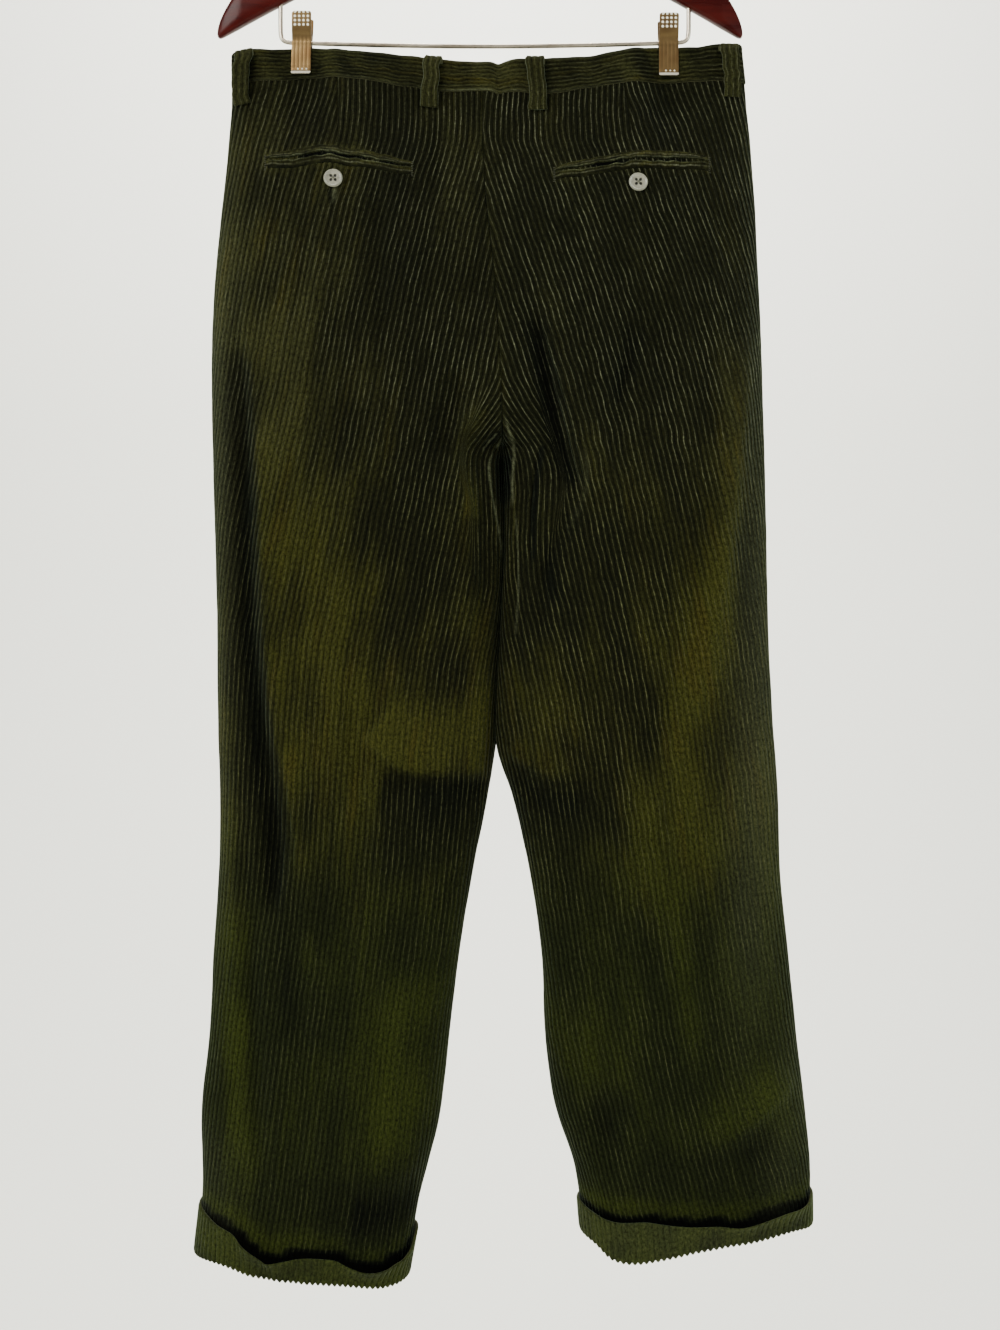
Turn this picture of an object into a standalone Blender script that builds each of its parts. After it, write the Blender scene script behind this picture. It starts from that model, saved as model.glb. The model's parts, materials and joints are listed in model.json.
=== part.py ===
"""Wide-wale corduroy trousers, hung by the waist from a wooden clamp hanger.

Units are metres, +Z is up and the wearer's back faces -Y. The origin is the inner
crown of the hanger's hook, where a rail would carry it. "Drop" is the distance
below the waistband's top edge. Every piece of cloth is a thin wall on one shared
form: a section at each drop, from the side fold to the centre seam or inseam.
"""
from collections import namedtuple
from math import cos, pi, radians, sin

import bmesh
import bpy
import numpy as np

# ---------------------------------------------------------------- driving sizes
SEAM_GAP = 0.0003          # between pieces sewn edge to edge
LAY_GAP = 0.0003           # between a piece and what it lies on
WALL = 0.0013              # ground cloth
RIB = 0.0009               # pile of one wale above the ground cloth
WALES_PER_PANEL = 48       # side seam to centre seam or inseam

WAIST_TOP_Z = -0.242       # waistband's top edge at the clamps
WAIST_SAG = 0.019          # the loose waist between the clamps
WAIST_TILT = 0.009         # the right end hangs a little higher
SAG_REACH = 0.16           # drop at which the sag has evened out
BAND_DEPTH = 0.030
BAND_WALES = 8
BAND_PROUD = 0.0008        # the band's ground cloth stands over the panels'
PANEL_TOP = BAND_DEPTH + 0.0005
CROTCH_DROP = 0.343
FORK_START = 0.268         # from here the seat turns in to the crotch
HEM_DROP = 1.060
LEG_END = HEM_DROP - 0.0021
HEM_LIFT_START = 0.86

CLAMP_X = (-0.163, 0.159)
CLAMP_WIDTH = 0.017
BAR_Z = -0.2352
BAR_SAG = 0.0035
BAR_RADIUS = 0.0013
BAR_ENDS_X = (-0.182, 0.177)
BAR_ROOT_GAP = 0.0008      # from the sloping wood to the bar's flat end, at its middle
BAR_BEND_RISE = 0.012      # height at which each end starts to bend
BAR_BEND_RUN = 0.006       # length along the bar in which it has bent

SIDE_POWER = 2.4           # how square the side folds are
FRONT_DEPTH = 0.92         # the front is a little flatter than the back
FLATTEST = 0.003           # half depth that a fold leaves at least, as in a clamp
FOLD_FREE = 0.6            # share of the depth from which folds have full height

# One row for each drop, in millimetres: where the folds and seams stand, how deep
# the half section is, and the share of that depth left at the centre seam.
Section = namedtuple("Section", "drop left_side left_inner right_inner right_side depth centre")
SECTIONS = [
    Section(0, -223.5, 0, 0, 222, 10, 1.45),
    Section(53, -224.5, 2, 2, 227, 19, 1.2),
    Section(123, -230.5, 6, 6, 233, 33, 1.03),
    Section(194, -237.5, 9, 9, 236.5, 44, 0.98),
    Section(264, -241, 11, 11, 239.5, 49, 0.95),
    Section(343, -240.5, 13, 13, 242, 48, 0.9),
    Section(422, -238.5, 14.5, 14.5, 244, 47, 0.9),
    Section(502, -236.5, 12, 12, 245.5, 46, 0.9),
    Section(572, -236, 9.5, 9.5, 248.5, 46, 0.9),
    Section(616, -235, 7, 9.5, 251.5, 44, 0.9),
    Section(651, -234, 2, 18, 254, 43, 0.9),
    Section(722, -235, -14, 38, 256, 43, 0.9),
    Section(792, -239.5, -25.5, 48.5, 263, 43, 0.9),
    Section(862, -243, -34.5, 55, 270, 44, 0.9),
    Section(933, -250, -43, 63, 278, 44, 0.9),
    Section(1003, -249, -60, 82, 284, 44, 0.9),
    Section(1060, -254, -65, 85, 286, 45, 0.9),
]

# Drops of the rings that the panels are made through.
ROWS = [PANEL_TOP, 0.130, 0.230, 0.305, CROTCH_DROP, 0.430, 0.590, 0.655,
        0.760, 0.900, LEG_END]

Panel = namedtuple("Panel", "name side face")      # side -1 left, face -1 back
PANELS = [
    Panel("panel_back_left", -1, -1),
    Panel("panel_back_right", 1, -1),
    Panel("panel_front_left", -1, 1),
    Panel("panel_front_right", 1, 1),
]

# Largest folds, in millimetres and degrees: the middle, half length along the fold,
# half width, lean of its top to the right and height (+ ridge, - trough).
Fold = namedtuple("Fold", "panel x drop reach width lean height")
FOLDS = [
    Fold("panel_back_left", -163, 10, 58, 26, 0, -14),
    Fold("panel_back_left", -202, 370, 230, 12, -2, -9),
    Fold("panel_back_left", -183, 690, 130, 13, -6, -8),
    Fold("panel_back_left", -7, 322, 42, 12, 31, 6),
    Fold("panel_back_left", -36, 322, 42, 13, 15, -8),
    Fold("panel_back_left", -49, 598, 62, 26, 78, 8),
    Fold("panel_back_left", -24, 662, 46, 24, 60, -8),
    Fold("panel_back_left", -2, 450, 110, 9, 0, -5),
    Fold("panel_back_right", 159, 10, 58, 26, 0, -14),
    Fold("panel_back_right", 53, 306, 112, 12, -10, -11),
    Fold("panel_back_right", 80, 388, 62, 10, 8, 7),
    Fold("panel_back_right", 210, 390, 160, 13, 7, 5),
    Fold("panel_back_right", 42, 594, 44, 26, -70, 8),
    Fold("panel_back_right", 72, 656, 42, 20, -65, -8),
    Fold("panel_back_right", 32, 450, 110, 9, 2, -5),
    Fold("panel_front_left", -163, 10, 58, 26, 0, -14),
    Fold("panel_front_left", -130, 420, 240, 16, -3, -7),
    Fold("panel_front_left", -60, 640, 60, 26, 65, -8),
    Fold("panel_front_left", -30, 360, 70, 12, 20, -6),
    Fold("panel_front_right", 159, 10, 58, 26, 0, -14),
    Fold("panel_front_right", 140, 400, 220, 16, 4, -7),
    Fold("panel_front_right", 84, 630, 60, 26, -62, -8),
    Fold("panel_front_right", 52, 360, 70, 12, -20, -6),
]

# How far the hem stands above HEM_DROP, in millimetres: at the side fold, half way
# and at the inner fold.
HemLift = namedtuple("HemLift", "panel side middle inner")
HEM_LIFTS = [
    HemLift("panel_back_left", 4, -12, -10),
    HemLift("panel_front_left", 4, -3, -10),
    HemLift("panel_back_right", 27, 10, 23),
    HemLift("panel_front_right", 27, 25, 23),
]

# Turn-ups, in millimetres: round from the side fold (0) by the back to the inner
# fold (0.5) and home by the front: standing height and stand-off of the top edge.
Cuff = namedtuple("Cuff", "around height flare")
CUFFS = {
    "left": [
        Cuff(0.0, 42, 3), Cuff(0.08, 35, 6), Cuff(0.16, 27, 9), Cuff(0.25, 28, 8),
        Cuff(0.33, 30, 5), Cuff(0.40, 24, 9), Cuff(0.46, 27, 6), Cuff(0.50, 36, 3),
        Cuff(0.75, 34, 6), Cuff(1.0, 42, 3),
    ],
    "right": [
        Cuff(0.0, 28, 3), Cuff(0.06, 20, 7), Cuff(0.15, 19, 9), Cuff(0.22, 24, 8),
        Cuff(0.30, 30, 6), Cuff(0.38, 36, 4), Cuff(0.45, 33, 4), Cuff(0.50, 30, 2),
        Cuff(0.75, 33, 6), Cuff(1.0, 28, 3),
    ],
}
CUFF_WALES = 92
CUFF_CLEAR = RIB + 0.0007  # from the leg's ground cloth to the turn-up's inside
CUFF_LIP = 0.0016          # the fold under the leg's end

# Belt loops: middle of the loop, and the face of the garment it is on.
Loop = namedtuple("Loop", "x face")
LOOPS = [Loop(-0.215, -1), Loop(-0.047, -1), Loop(0.043, -1), Loop(0.209, -1),
         Loop(-0.100, 1), Loop(0.104, 1)]
LOOP_WIDTH = 0.0135
LOOP_WALL = 0.0012
LOOP_RIB = 0.0006
# Path of a loop's inner side, in millimetres: drop, and distance off the form.
LOOP_PATH = [(-0.4, 2.1), (-0.5, 5.4), (2, 7.9), (9, 8.4), (25, 8.2), (37, 6.4),
             (43, 3.4), (47, 1.5)]

# Back pockets, in millimetres: the top edge of the upper welt, along the pocket.
PocketEdge = namedtuple("PocketEdge", "x drop")
POCKETS = {
    "left": [PocketEdge(-189, 102), PocketEdge(-152, 98), PocketEdge(-133, 97),
             PocketEdge(-113, 99.5), PocketEdge(-90, 103.5), PocketEdge(-64.5, 110)],
    "right": [PocketEdge(58, 114), PocketEdge(79, 107), PocketEdge(107, 101.5),
              PocketEdge(137, 99.5), PocketEdge(165, 101), PocketEdge(191, 104)],
}
WELT_DEPTHS = {"upper": (0.0, 0.0068), "lower": (0.0073, 0.0150)}
WELT_WALL = 0.0012
WELT_RIB = 0.0006
POCKET_BUTTONS = {"left": (-0.1325, 0.1256), "right": (0.1288, 0.1290)}

BUTTON_RADIUS = 0.0085
BUTTON_THICK = 0.0024
WAIST_BUTTON = (0.010, 0.015)
POCKET_BUTTON_CLEAR = RIB + 0.0006
WAIST_BUTTON_CLEAR = BAND_PROUD + RIB + 0.0005

FLY_WIDTH = 0.038
FLY_START = PANEL_TOP + 0.0002
FLY_END = 0.205
FLY_WALES = 8
FLY_CORNER = 0.22          # share of its length that the rounded corner takes

WOOD_TIP_X = 0.2290
WOOD_TIP_Z = -0.2130
WOOD_NECK_Z = -0.1100
WOOD_POWER = 1.25          # arms droop more and more towards the tips
WOOD_HALF_HEIGHT = 0.0190
WOOD_HALF_THICK = 0.0070
WOOD_END = 0.0100          # length of each rounded end
WOOD_END_SCALE = 0.55      # the section's size at the very end
WOOD_ROUNDNESS = 0.6       # 1 is an oval section, less is more square
HOOK_RADIUS = 0.0235
HOOK_WIRE = 0.0017
# The hook's stem between the neck and the circle, in millimetres: out to the side
# and height.
HOOK_STEM = [(0, -75), (1, -64), (5, -53.5)]

MM = 0.001


# ---------------------------------------------------------------- small helpers
def smooth(t):
    """Ease from 0 to 1: 3t^2 - 2t^3, held at its ends."""
    t = np.clip(t, 0.0, 1.0)
    return t * t * (3.0 - 2.0 * t)


def curve(at, known_at, values):
    """Smooth line through given values: cubic pieces whose slopes are the means of
    the neighbouring chords."""
    known_at = np.asarray(known_at, float)
    values = np.asarray(values, float)
    slopes = np.gradient(values, known_at)
    piece = np.clip(np.searchsorted(known_at, at, side="right") - 1, 0, len(known_at) - 2)
    step = known_at[piece + 1] - known_at[piece]
    t = np.clip((at - known_at[piece]) / step, 0.0, 1.0)
    return ((1 + 2 * t) * (1 - t) ** 2 * values[piece]
            + t * (1 - t) ** 2 * step * slopes[piece]
            + t * t * (3 - 2 * t) * values[piece + 1]
            + t * t * (t - 1) * step * slopes[piece + 1])


def column(table, field):
    """One named column of a table, from millimetres to metres."""
    return np.array([getattr(row, field) for row in table]) * MM


CENTRE_SHARES = [row.centre for row in SECTIONS]


def section_value(field, drop):
    """A column of SECTIONS at any drop."""
    return curve(drop, column(SECTIONS, "drop"), column(SECTIONS, field))


def unit(vectors):
    """Each vector at length one."""
    return vectors / np.linalg.norm(vectors, axis=-1, keepdims=True)


# ---------------------------------------------------------------- the cloth's form
def waist_shift(x):
    """Height of the waist's edge against WAIST_TOP_Z: a squared cosine of sag
    between the clamps, and the tilt."""
    middle = sum(CLAMP_X) / 2
    half = (CLAMP_X[1] - CLAMP_X[0]) / 2
    t = np.clip((x - middle) / half, -1.0, 1.0)
    return WAIST_TILT * x - WAIST_SAG * np.cos(pi * t / 2) ** 2


def fold_height(panel, x, drop):
    """Sum of the panel's folds: each is a bell across and a blunt bell along."""
    total = np.zeros(np.broadcast(x, drop).shape)
    for fold in FOLDS:
        if fold.panel == panel.name:
            lean = radians(fold.lean)
            right = x - fold.x * MM
            down = drop - fold.drop * MM
            along = (down * cos(lean) - right * sin(lean)) / (fold.reach * MM)
            across = (right * cos(lean) + down * sin(lean)) / (fold.width * MM)
            total += fold.height * MM * np.exp(-across ** 2 - along ** 4)
    return total


def inner_edge(panel, drop):
    """The centre seam down to the crotch, and the inner fold of the leg below it:
    there the two legs stand clear of each other's wales."""
    name = "left_inner" if panel.side < 0 else "right_inner"
    in_leg = smooth((drop - FORK_START) / (CROTCH_DROP - FORK_START))
    clear = SEAM_GAP / 2 + in_leg * (RIB + SEAM_GAP / 2)
    return section_value(name, drop) + panel.side * clear


def form(panel, across, drop):
    """Point of the ground cloth: across runs from the side fold (0) to the centre
    seam or inner fold (1). The side half is a rounded oblong; the inner half leaves
    the centre depth in the seat and closes like the side in the leg."""
    side_name = "left_side" if panel.side < 0 else "right_side"
    side = section_value(side_name, drop)
    x = side + (inner_edge(panel, drop) - side) * across

    t = 2 * across - 1
    fall = np.clip((drop - FORK_START) / (CROTCH_DROP - FORK_START), 0.0, 1.0)
    centre = curve(drop, column(SECTIONS, "drop"), CENTRE_SHARES) * np.sqrt(1 - fall ** 2)
    power = 1.0 + (1.0 / SIDE_POWER - 1.0) * smooth(fall)
    bulge = np.clip(1 - np.abs(t) ** SIDE_POWER, 0.0, 1.0)
    share = np.where(t < 0, bulge ** (1.0 / SIDE_POWER),
                     centre + (1.0 - centre) * bulge ** power)
    depth = section_value("depth", drop) * (1.0 if panel.face < 0 else FRONT_DEPTH)
    held = np.minimum(1.0, share / FOLD_FREE)
    y = SEAM_GAP / 2 + depth * share + held * fold_height(panel, x, drop)
    y = np.maximum(y, SEAM_GAP / 2 + np.minimum(depth * share, FLATTEST))

    lift = next(row for row in HEM_LIFTS if row.panel == panel.name)
    hem = (lift.middle * (1 - t * t) + lift.side * t * (t - 1) / 2
           + lift.inner * t * (t + 1) / 2) * MM
    z = (WAIST_TOP_Z - drop
         + waist_shift(x) * (1 - smooth(drop / SAG_REACH))
         + hem * smooth((drop - HEM_LIFT_START) / (HEM_DROP - HEM_LIFT_START)))
    return np.stack([x, panel.face * y, z], axis=-1)


FINE = 361                 # points along a section while it is being worked out
NUDGE = 0.002              # step down and up for the cloth's slope
TABLE_DROPS = np.array([0.0, BAND_DEPTH] + ROWS + [HEM_DROP])


def even_sections(panel):
    """The form at each table drop, re-spaced so that equal steps are equal cloth,
    with its outward normals. On a seam the normal lies in the seam's own plane, so
    that the two walls' edges face each other."""
    turn = np.linspace(0.0, pi, FINE)
    across = (1 - np.cos(turn)) / 2
    points = form(panel, across[None, :], TABLE_DROPS[:, None])
    below = form(panel, across[None, :], np.minimum(TABLE_DROPS + NUDGE, HEM_DROP)[:, None])
    above = form(panel, across[None, :], np.maximum(TABLE_DROPS - NUDGE, 0.0)[:, None])
    along = np.gradient(points, axis=1)
    normals = np.cross(along, below - above)
    normals *= np.sign(normals[:, FINE // 2, 1] * panel.face)[:, None, None]
    normals[:, 0, 1] = 0.0
    leg_rows = TABLE_DROPS >= CROTCH_DROP
    normals[leg_rows, -1, 1] = 0.0
    normals[~leg_rows, -1, 0] = 0.0
    normals = unit(normals)

    length = np.zeros(points.shape[:2])
    length[:, 1:] = np.cumsum(np.linalg.norm(np.diff(points, axis=1), axis=2), axis=1)
    share = np.linspace(0.0, 1.0, FINE)
    even_points = np.empty_like(points)
    even_normals = np.empty_like(points)
    for row in range(len(TABLE_DROPS)):
        wanted = share * length[row, -1]
        for axis in range(3):
            even_points[row, :, axis] = np.interp(wanted, length[row], points[row, :, axis])
            even_normals[row, :, axis] = np.interp(wanted, length[row], normals[row, :, axis])
    return even_points, unit(even_normals)


SURFACES = {panel.name: even_sections(panel) for panel in PANELS}


def on_panel(name, share, drop, out):
    """Point at a share of the way across the cloth (0 side, 1 inner), at a drop and
    a distance outside the form. Above the waist's edge it goes straight up."""
    points, normals = SURFACES[name]
    share, drop, out = np.broadcast_arrays(share, drop, out)
    inside = np.clip(drop, TABLE_DROPS[0], TABLE_DROPS[-1])
    row = np.clip(np.searchsorted(TABLE_DROPS, inside, side="right") - 1,
                  0, len(TABLE_DROPS) - 2)
    down = (inside - TABLE_DROPS[row]) / (TABLE_DROPS[row + 1] - TABLE_DROPS[row])
    place = np.clip(share, 0.0, 1.0) * (FINE - 1)
    col = np.minimum(place.astype(int), FINE - 2)
    part = place - col

    def blend(values):
        upper = values[row, col] * (1 - part[..., None]) + values[row, col + 1] * part[..., None]
        lower = (values[row + 1, col] * (1 - part[..., None])
                 + values[row + 1, col + 1] * part[..., None])
        return upper * (1 - down[..., None]) + lower * down[..., None]

    result = blend(points) + unit(blend(normals)) * out[..., None]
    result[..., 2] += inside - drop
    return result


def share_at(name, x, drop):
    """How far across the cloth a given x lies, at a drop."""
    shares = np.linspace(0.0, 1.0, FINE)
    line = on_panel(name, shares, drop, 0.0)[:, 0]
    if line[0] > line[-1]:
        return float(np.interp(x, line[::-1], shares[::-1]))
    return float(np.interp(x, line, shares))


# ---------------------------------------------------------------- meshes
def clear_scene():
    for obj in list(bpy.data.objects):
        bpy.data.objects.remove(obj, do_unlink=True)


def finish(name, color, roughness, metallic):
    """A Principled material."""
    material = bpy.data.materials.get(name)
    if material is None:
        material = bpy.data.materials.new(name)
        material.use_nodes = True
        shader = material.node_tree.nodes["Principled BSDF"]
        shader.inputs["Base Color"].default_value = (*color, 1.0)
        shader.inputs["Roughness"].default_value = roughness
        shader.inputs["Metallic"].default_value = metallic
    return material


def corduroy():
    return finish("olive_corduroy", (0.020, 0.021, 0.009), 0.9, 0.0)


def horn():
    return finish("grey_horn", (0.42, 0.40, 0.33), 0.45, 0.0)


def mahogany():
    return finish("dark_mahogany", (0.10, 0.012, 0.010), 0.35, 0.0)


def gold():
    return finish("pale_gold", (0.55, 0.40, 0.20), 0.3, 1.0)


def make(name, vertices, faces, material, sharp=50.0):
    """One closed object, faces outward, smooth but for edges sharper than given."""
    mesh = bpy.data.meshes.new(name)
    mesh.from_pydata([tuple(v) for v in vertices], [], [tuple(map(int, f)) for f in faces])
    shape = bmesh.new()
    shape.from_mesh(mesh)
    bmesh.ops.recalc_face_normals(shape, faces=shape.faces)
    if shape.calc_volume(signed=True) < 0:
        bmesh.ops.reverse_faces(shape, faces=shape.faces)
    shape.to_mesh(mesh)
    shape.free()
    mesh.shade_smooth()
    mesh.set_sharp_from_angle(angle=radians(sharp))
    mesh.materials.append(material)
    obj = bpy.data.objects.new(name, mesh)
    bpy.context.collection.objects.link(obj)
    return obj


def zip_edges(first, first_at, second, second_at):
    """Triangles between two lines of points, each with its rising positions."""
    faces = []
    i = j = 0
    while i < len(first) - 1 or j < len(second) - 1:
        first_next = i < len(first) - 1 and (
            j == len(second) - 1 or first_at[i + 1] <= second_at[j + 1])
        if first_next:
            faces.append((first[i], first[i + 1], second[j]))
            i += 1
        else:
            faces.append((first[i], second[j + 1], second[j]))
            j += 1
    return faces


def grid_faces(ids):
    """Two triangles for each cell of a grid of point numbers."""
    a, b, c, d = ids[:-1, :-1], ids[:-1, 1:], ids[1:, 1:], ids[1:, :-1]
    return (list(zip(a.ravel(), b.ravel(), c.ravel()))
            + list(zip(a.ravel(), c.ravel(), d.ravel())))


def wall(name, outer, inner, kept, material):
    """Closed wall between an outer grid and an inner grid that has the same rows
    but only the kept columns."""
    outer_ids = np.arange(outer.shape[0] * outer.shape[1]).reshape(outer.shape[:2])
    inner_ids = outer_ids.size + np.arange(inner.shape[0] * inner.shape[1])
    inner_ids = inner_ids.reshape(inner.shape[:2])
    faces = grid_faces(outer_ids)
    faces += [face[::-1] for face in grid_faces(inner_ids)]
    every = list(range(outer.shape[1]))
    faces += [f[::-1] for f in zip_edges(outer_ids[0], every, inner_ids[0], kept)]
    faces += zip_edges(outer_ids[-1], every, inner_ids[-1], kept)
    down = list(range(outer.shape[0]))
    faces += zip_edges(outer_ids[:, 0], down, inner_ids[:, 0], down)
    faces += [f[::-1] for f in zip_edges(outer_ids[:, -1], down, inner_ids[:, -1], down)]
    vertices = np.concatenate([outer.reshape(-1, 3), inner.reshape(-1, 3)])
    return make(name, vertices, faces, material)


def loft(name, sections, material, sharp=50.0):
    """Closed solid through sections of equal point counts, with flat ends."""
    count, size = sections.shape[:2]
    ids = np.arange(count * size).reshape(count, size)
    closed = np.concatenate([ids, ids[:, :1]], axis=1)
    faces = [tuple(f) for f in grid_faces(closed)]
    faces.append(tuple(ids[0][::-1]))
    faces.append(tuple(ids[-1]))
    return make(name, sections.reshape(-1, 3), faces, material, sharp)


def ring_solid(name, rings, ring_at, material):
    """Closed ring from a loop of rings whose point counts may differ."""
    starts = np.cumsum([0] + [len(ring) for ring in rings])
    faces = []
    for i in range(len(rings)):
        j = (i + 1) % len(rings)
        first = list(range(starts[i], starts[i + 1])) + [starts[i]]
        second = list(range(starts[j], starts[j + 1])) + [starts[j]]
        faces += zip_edges(first, list(ring_at[i]) + [1.0], second, list(ring_at[j]) + [1.0])
    return make(name, np.concatenate(rings), faces, material)


def rod(name, path, radius, sides, material):
    """Round rod along a path in one upright plane, with flat ends."""
    path = np.asarray(path, float)
    along = unit(np.gradient(path, axis=0))
    level = np.array([0.0, 1.0, 0.0])
    upright = np.cross(along, level)
    turn = np.linspace(0.0, 2 * pi, sides, endpoint=False)[None, :, None]
    sections = path[:, None] + radius * (np.cos(turn) * level + np.sin(turn) * upright[:, None])
    return loft(name, sections, material)


def turned(name, centre, axis, profile, sides, material):
    """Solid turned round an axis from a profile of (radius, height) pairs whose ends
    are on the axis."""
    axis = unit(np.asarray(axis, float))
    first = unit(np.cross(axis, (0.0, 0.0, 1.0)))
    second = np.cross(axis, first)
    turn = np.linspace(0.0, 2 * pi, sides, endpoint=False)[:, None]
    spokes = np.cos(turn) * first + np.sin(turn) * second
    rings = np.array([centre + axis * height + spokes * radius for radius, height in profile[1:-1]])
    ids = np.arange(rings.shape[0] * sides).reshape(rings.shape[0], sides)
    bottom, top = ids.size, ids.size + 1
    closed = np.concatenate([ids, ids[:, :1]], axis=1)
    faces = grid_faces(closed)
    faces += [(bottom, closed[0, i + 1], closed[0, i]) for i in range(sides)]
    faces += [(top, closed[-1, i], closed[-1, i + 1]) for i in range(sides)]
    ends = np.array([centre + axis * profile[0][1], centre + axis * profile[-1][1]])
    vertices = np.concatenate([rings.reshape(-1, 3), ends])
    return make(name, vertices, faces, material, 40.0)


# ---------------------------------------------------------------- cloth pieces
def ridged(count):
    """Heights of wales over evenly spaced columns: grooves at both edges."""
    return RIB * (np.arange(2 * count + 1) % 2)


def plain_columns(surface, columns, limit):
    """The fewest columns whose chords stay within a limit of every row's curve."""
    points = surface[:, np.round(columns * (FINE - 1)).astype(int)]
    kept = [0]
    last = len(columns) - 1
    while kept[-1] < last:
        start = kept[-1]
        best = start + 1
        for stop in range(start + 2, last + 1):
            part = np.linspace(0.0, 1.0, stop - start + 1)[None, :, None]
            chord = points[:, start:start + 1] * (1 - part) + points[:, stop:stop + 1] * part
            miss = np.linalg.norm(points[:, start:stop + 1] - chord, axis=2).max()
            if miss > limit:
                break
            best = stop
        kept.append(best)
    return kept


INSIDE_LIMIT = 0.0011


def make_panel(panel):
    """Leg and seat panel: wales raised on the outside, a plain inside."""
    columns = np.linspace(0.0, 1.0, 2 * WALES_PER_PANEL + 1)
    rows = np.array(ROWS)[:, None]
    outer = on_panel(panel.name, columns, rows, ridged(WALES_PER_PANEL)[None, :])
    kept = plain_columns(SURFACES[panel.name][0], columns, INSIDE_LIMIT)
    inner = on_panel(panel.name, columns[kept], rows, -WALL)
    wall(panel.name, outer, inner, kept, corduroy())


def on_trunk(face, around, drop, out):
    """Point on the whole back or front: 0 is the left side seam, 1 the centre and 2
    the right side seam."""
    names = [panel.name for panel in PANELS if panel.face == face]
    around, drop, out = np.broadcast_arrays(around, drop, out)
    left = on_panel(names[0], around, drop, out)
    right = on_panel(names[1], 2 - around, drop, out)
    result = np.where((around < 1)[..., None], left, right)
    centre = around == 1
    result[centre] = (left[centre] + right[centre]) / 2
    return result


BAND_STATIONS = [0, 0.025, 0.08, 0.16, 0.25, 0.34, 0.45, 0.62, 0.8, 1]


def make_band(name, face):
    """Waistband half: wales run along it, plain behind."""
    half = np.array(BAND_STATIONS)
    around = np.concatenate([half, 2 - half[-2::-1]])[:, None]
    drops = np.linspace(0.0, BAND_DEPTH, 2 * BAND_WALES + 1)
    ridge = BAND_PROUD + RIB * (np.arange(len(drops)) % 2)
    outer = on_trunk(face, around, drops[None, :], ridge[None, :])
    inner = on_trunk(face, around, drops[[-1, 0]][None, :], -WALL)
    loft(name, np.concatenate([outer, inner], axis=1), corduroy())


def make_loop(name, loop):
    """Belt loop: a strip of three wales that stands off the band between its ends."""
    panel = next(p.name for p in PANELS if p.face == loop.face and p.side * loop.x > 0)
    path = np.array(LOOP_PATH) * MM
    along = unit(np.gradient(path, axis=0))
    away = np.stack([along[:, 1], -along[:, 0]], axis=1)
    away *= np.sign(away[len(away) // 2, 1])
    over = np.linspace(-0.5, 0.5, 7)
    ridge = LOOP_WALL + LOOP_RIB * (np.arange(7) % 2)
    sections = []
    for (drop, out), step in zip(path, away):
        middle = share_at(panel, loop.x, max(drop, 0.0))
        rate = share_at(panel, loop.x + MM, max(drop, 0.0)) - middle
        shares = middle + over * LOOP_WIDTH / MM * rate
        top = on_panel(panel, shares, drop + step[0] * ridge, out + step[1] * ridge)
        under = on_panel(panel, shares[::-2], drop, out)
        sections.append(np.concatenate([top, under]))
    loft(name, np.array(sections), corduroy())


def make_welt(name, side, which):
    """Pocket welt of two level wales, laid on the back panel."""
    edge = POCKETS[side]
    panel = "panel_back_" + side
    stations = np.linspace(edge[0].x, edge[-1].x, 12) * MM
    top = curve(stations, column(edge, "x"), column(edge, "drop"))
    start, stop = WELT_DEPTHS[which]
    depths = np.linspace(start, stop, 5)
    base = RIB + LAY_GAP
    ridge = base + WELT_WALL + WELT_RIB * (np.arange(5) % 2)
    sections = []
    for x, drop in zip(stations, top):
        shares = np.array([share_at(panel, x, drop + d) for d in depths])
        outer = on_panel(panel, shares, drop + depths, ridge)
        inner = on_panel(panel, shares[[-1, 0]], drop + depths[[-1, 0]], base)
        sections.append(np.concatenate([outer, inner]))
    loft(name, np.array(sections), corduroy())


BUTTON_PROFILE = [(0.0, 0.0), (0.82, 0.0), (1.0, 0.35), (1.0, 0.7), (0.88, 1.0),
                  (0.66, 0.72), (0.0, 0.62)]


def make_button(name, panel, x, drop, clear):
    """Dished button, its back just off the cloth."""
    share = share_at(panel, x, drop)
    spot = on_panel(panel, share, drop, clear)
    axis = spot - on_panel(panel, share, drop, 0.0)
    profile = [(r * BUTTON_RADIUS, h * BUTTON_THICK) for r, h in BUTTON_PROFILE]
    turned(name, spot, axis, profile, 16, horn())


def make_fly():
    """Fly flap on the left front: upright wales and a rounded lower corner."""
    panel = "panel_front_left"
    over = np.linspace(0.0, 1.0, 2 * FLY_WALES + 1)
    ridge = RIB + LAY_GAP + WALL + RIB * (np.arange(len(over)) % 2)
    corner = np.sqrt(1 - (1 - over) ** 2)
    ends = FLY_START + (FLY_END - FLY_START) * (1 - FLY_CORNER + FLY_CORNER * corner)
    bend = ROWS[1]
    upper = np.array([FLY_START, (FLY_START + bend) / 2])[:, None] + 0 * ends
    lower = bend + (ends - bend) * np.array([0.0, 0.5, 0.8, 1.0])[:, None]
    drops = np.concatenate([upper, lower])
    outer_x = section_value("left_inner", drops[:, -1])[:, None] - FLY_WIDTH * (1 - over)[None, :]
    shares = np.array([[share_at(panel, x, d) for x, d in zip(row_x, row_d)]
                       for row_x, row_d in zip(outer_x, drops)])
    outer = on_panel(panel, shares, drops, ridge[None, :])
    kept = [0, 4, 8, 12, 16]
    inner = on_panel(panel, shares[:, kept], drops[:, kept], RIB + LAY_GAP)
    wall("fly", outer, inner, kept, corduroy())


def on_leg(side, around, drop, out):
    """Point round a leg: 0 is the side fold, by the back to 0.5 at the inner fold,
    and home by the front."""
    around, drop, out = np.broadcast_arrays(around, drop, out)
    back = on_panel("panel_back_" + side, 2 * around, drop, out)
    front = on_panel("panel_front_" + side, 2 - 2 * around, drop, out)
    return np.where((around < 0.5)[..., None], back, front)


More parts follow.
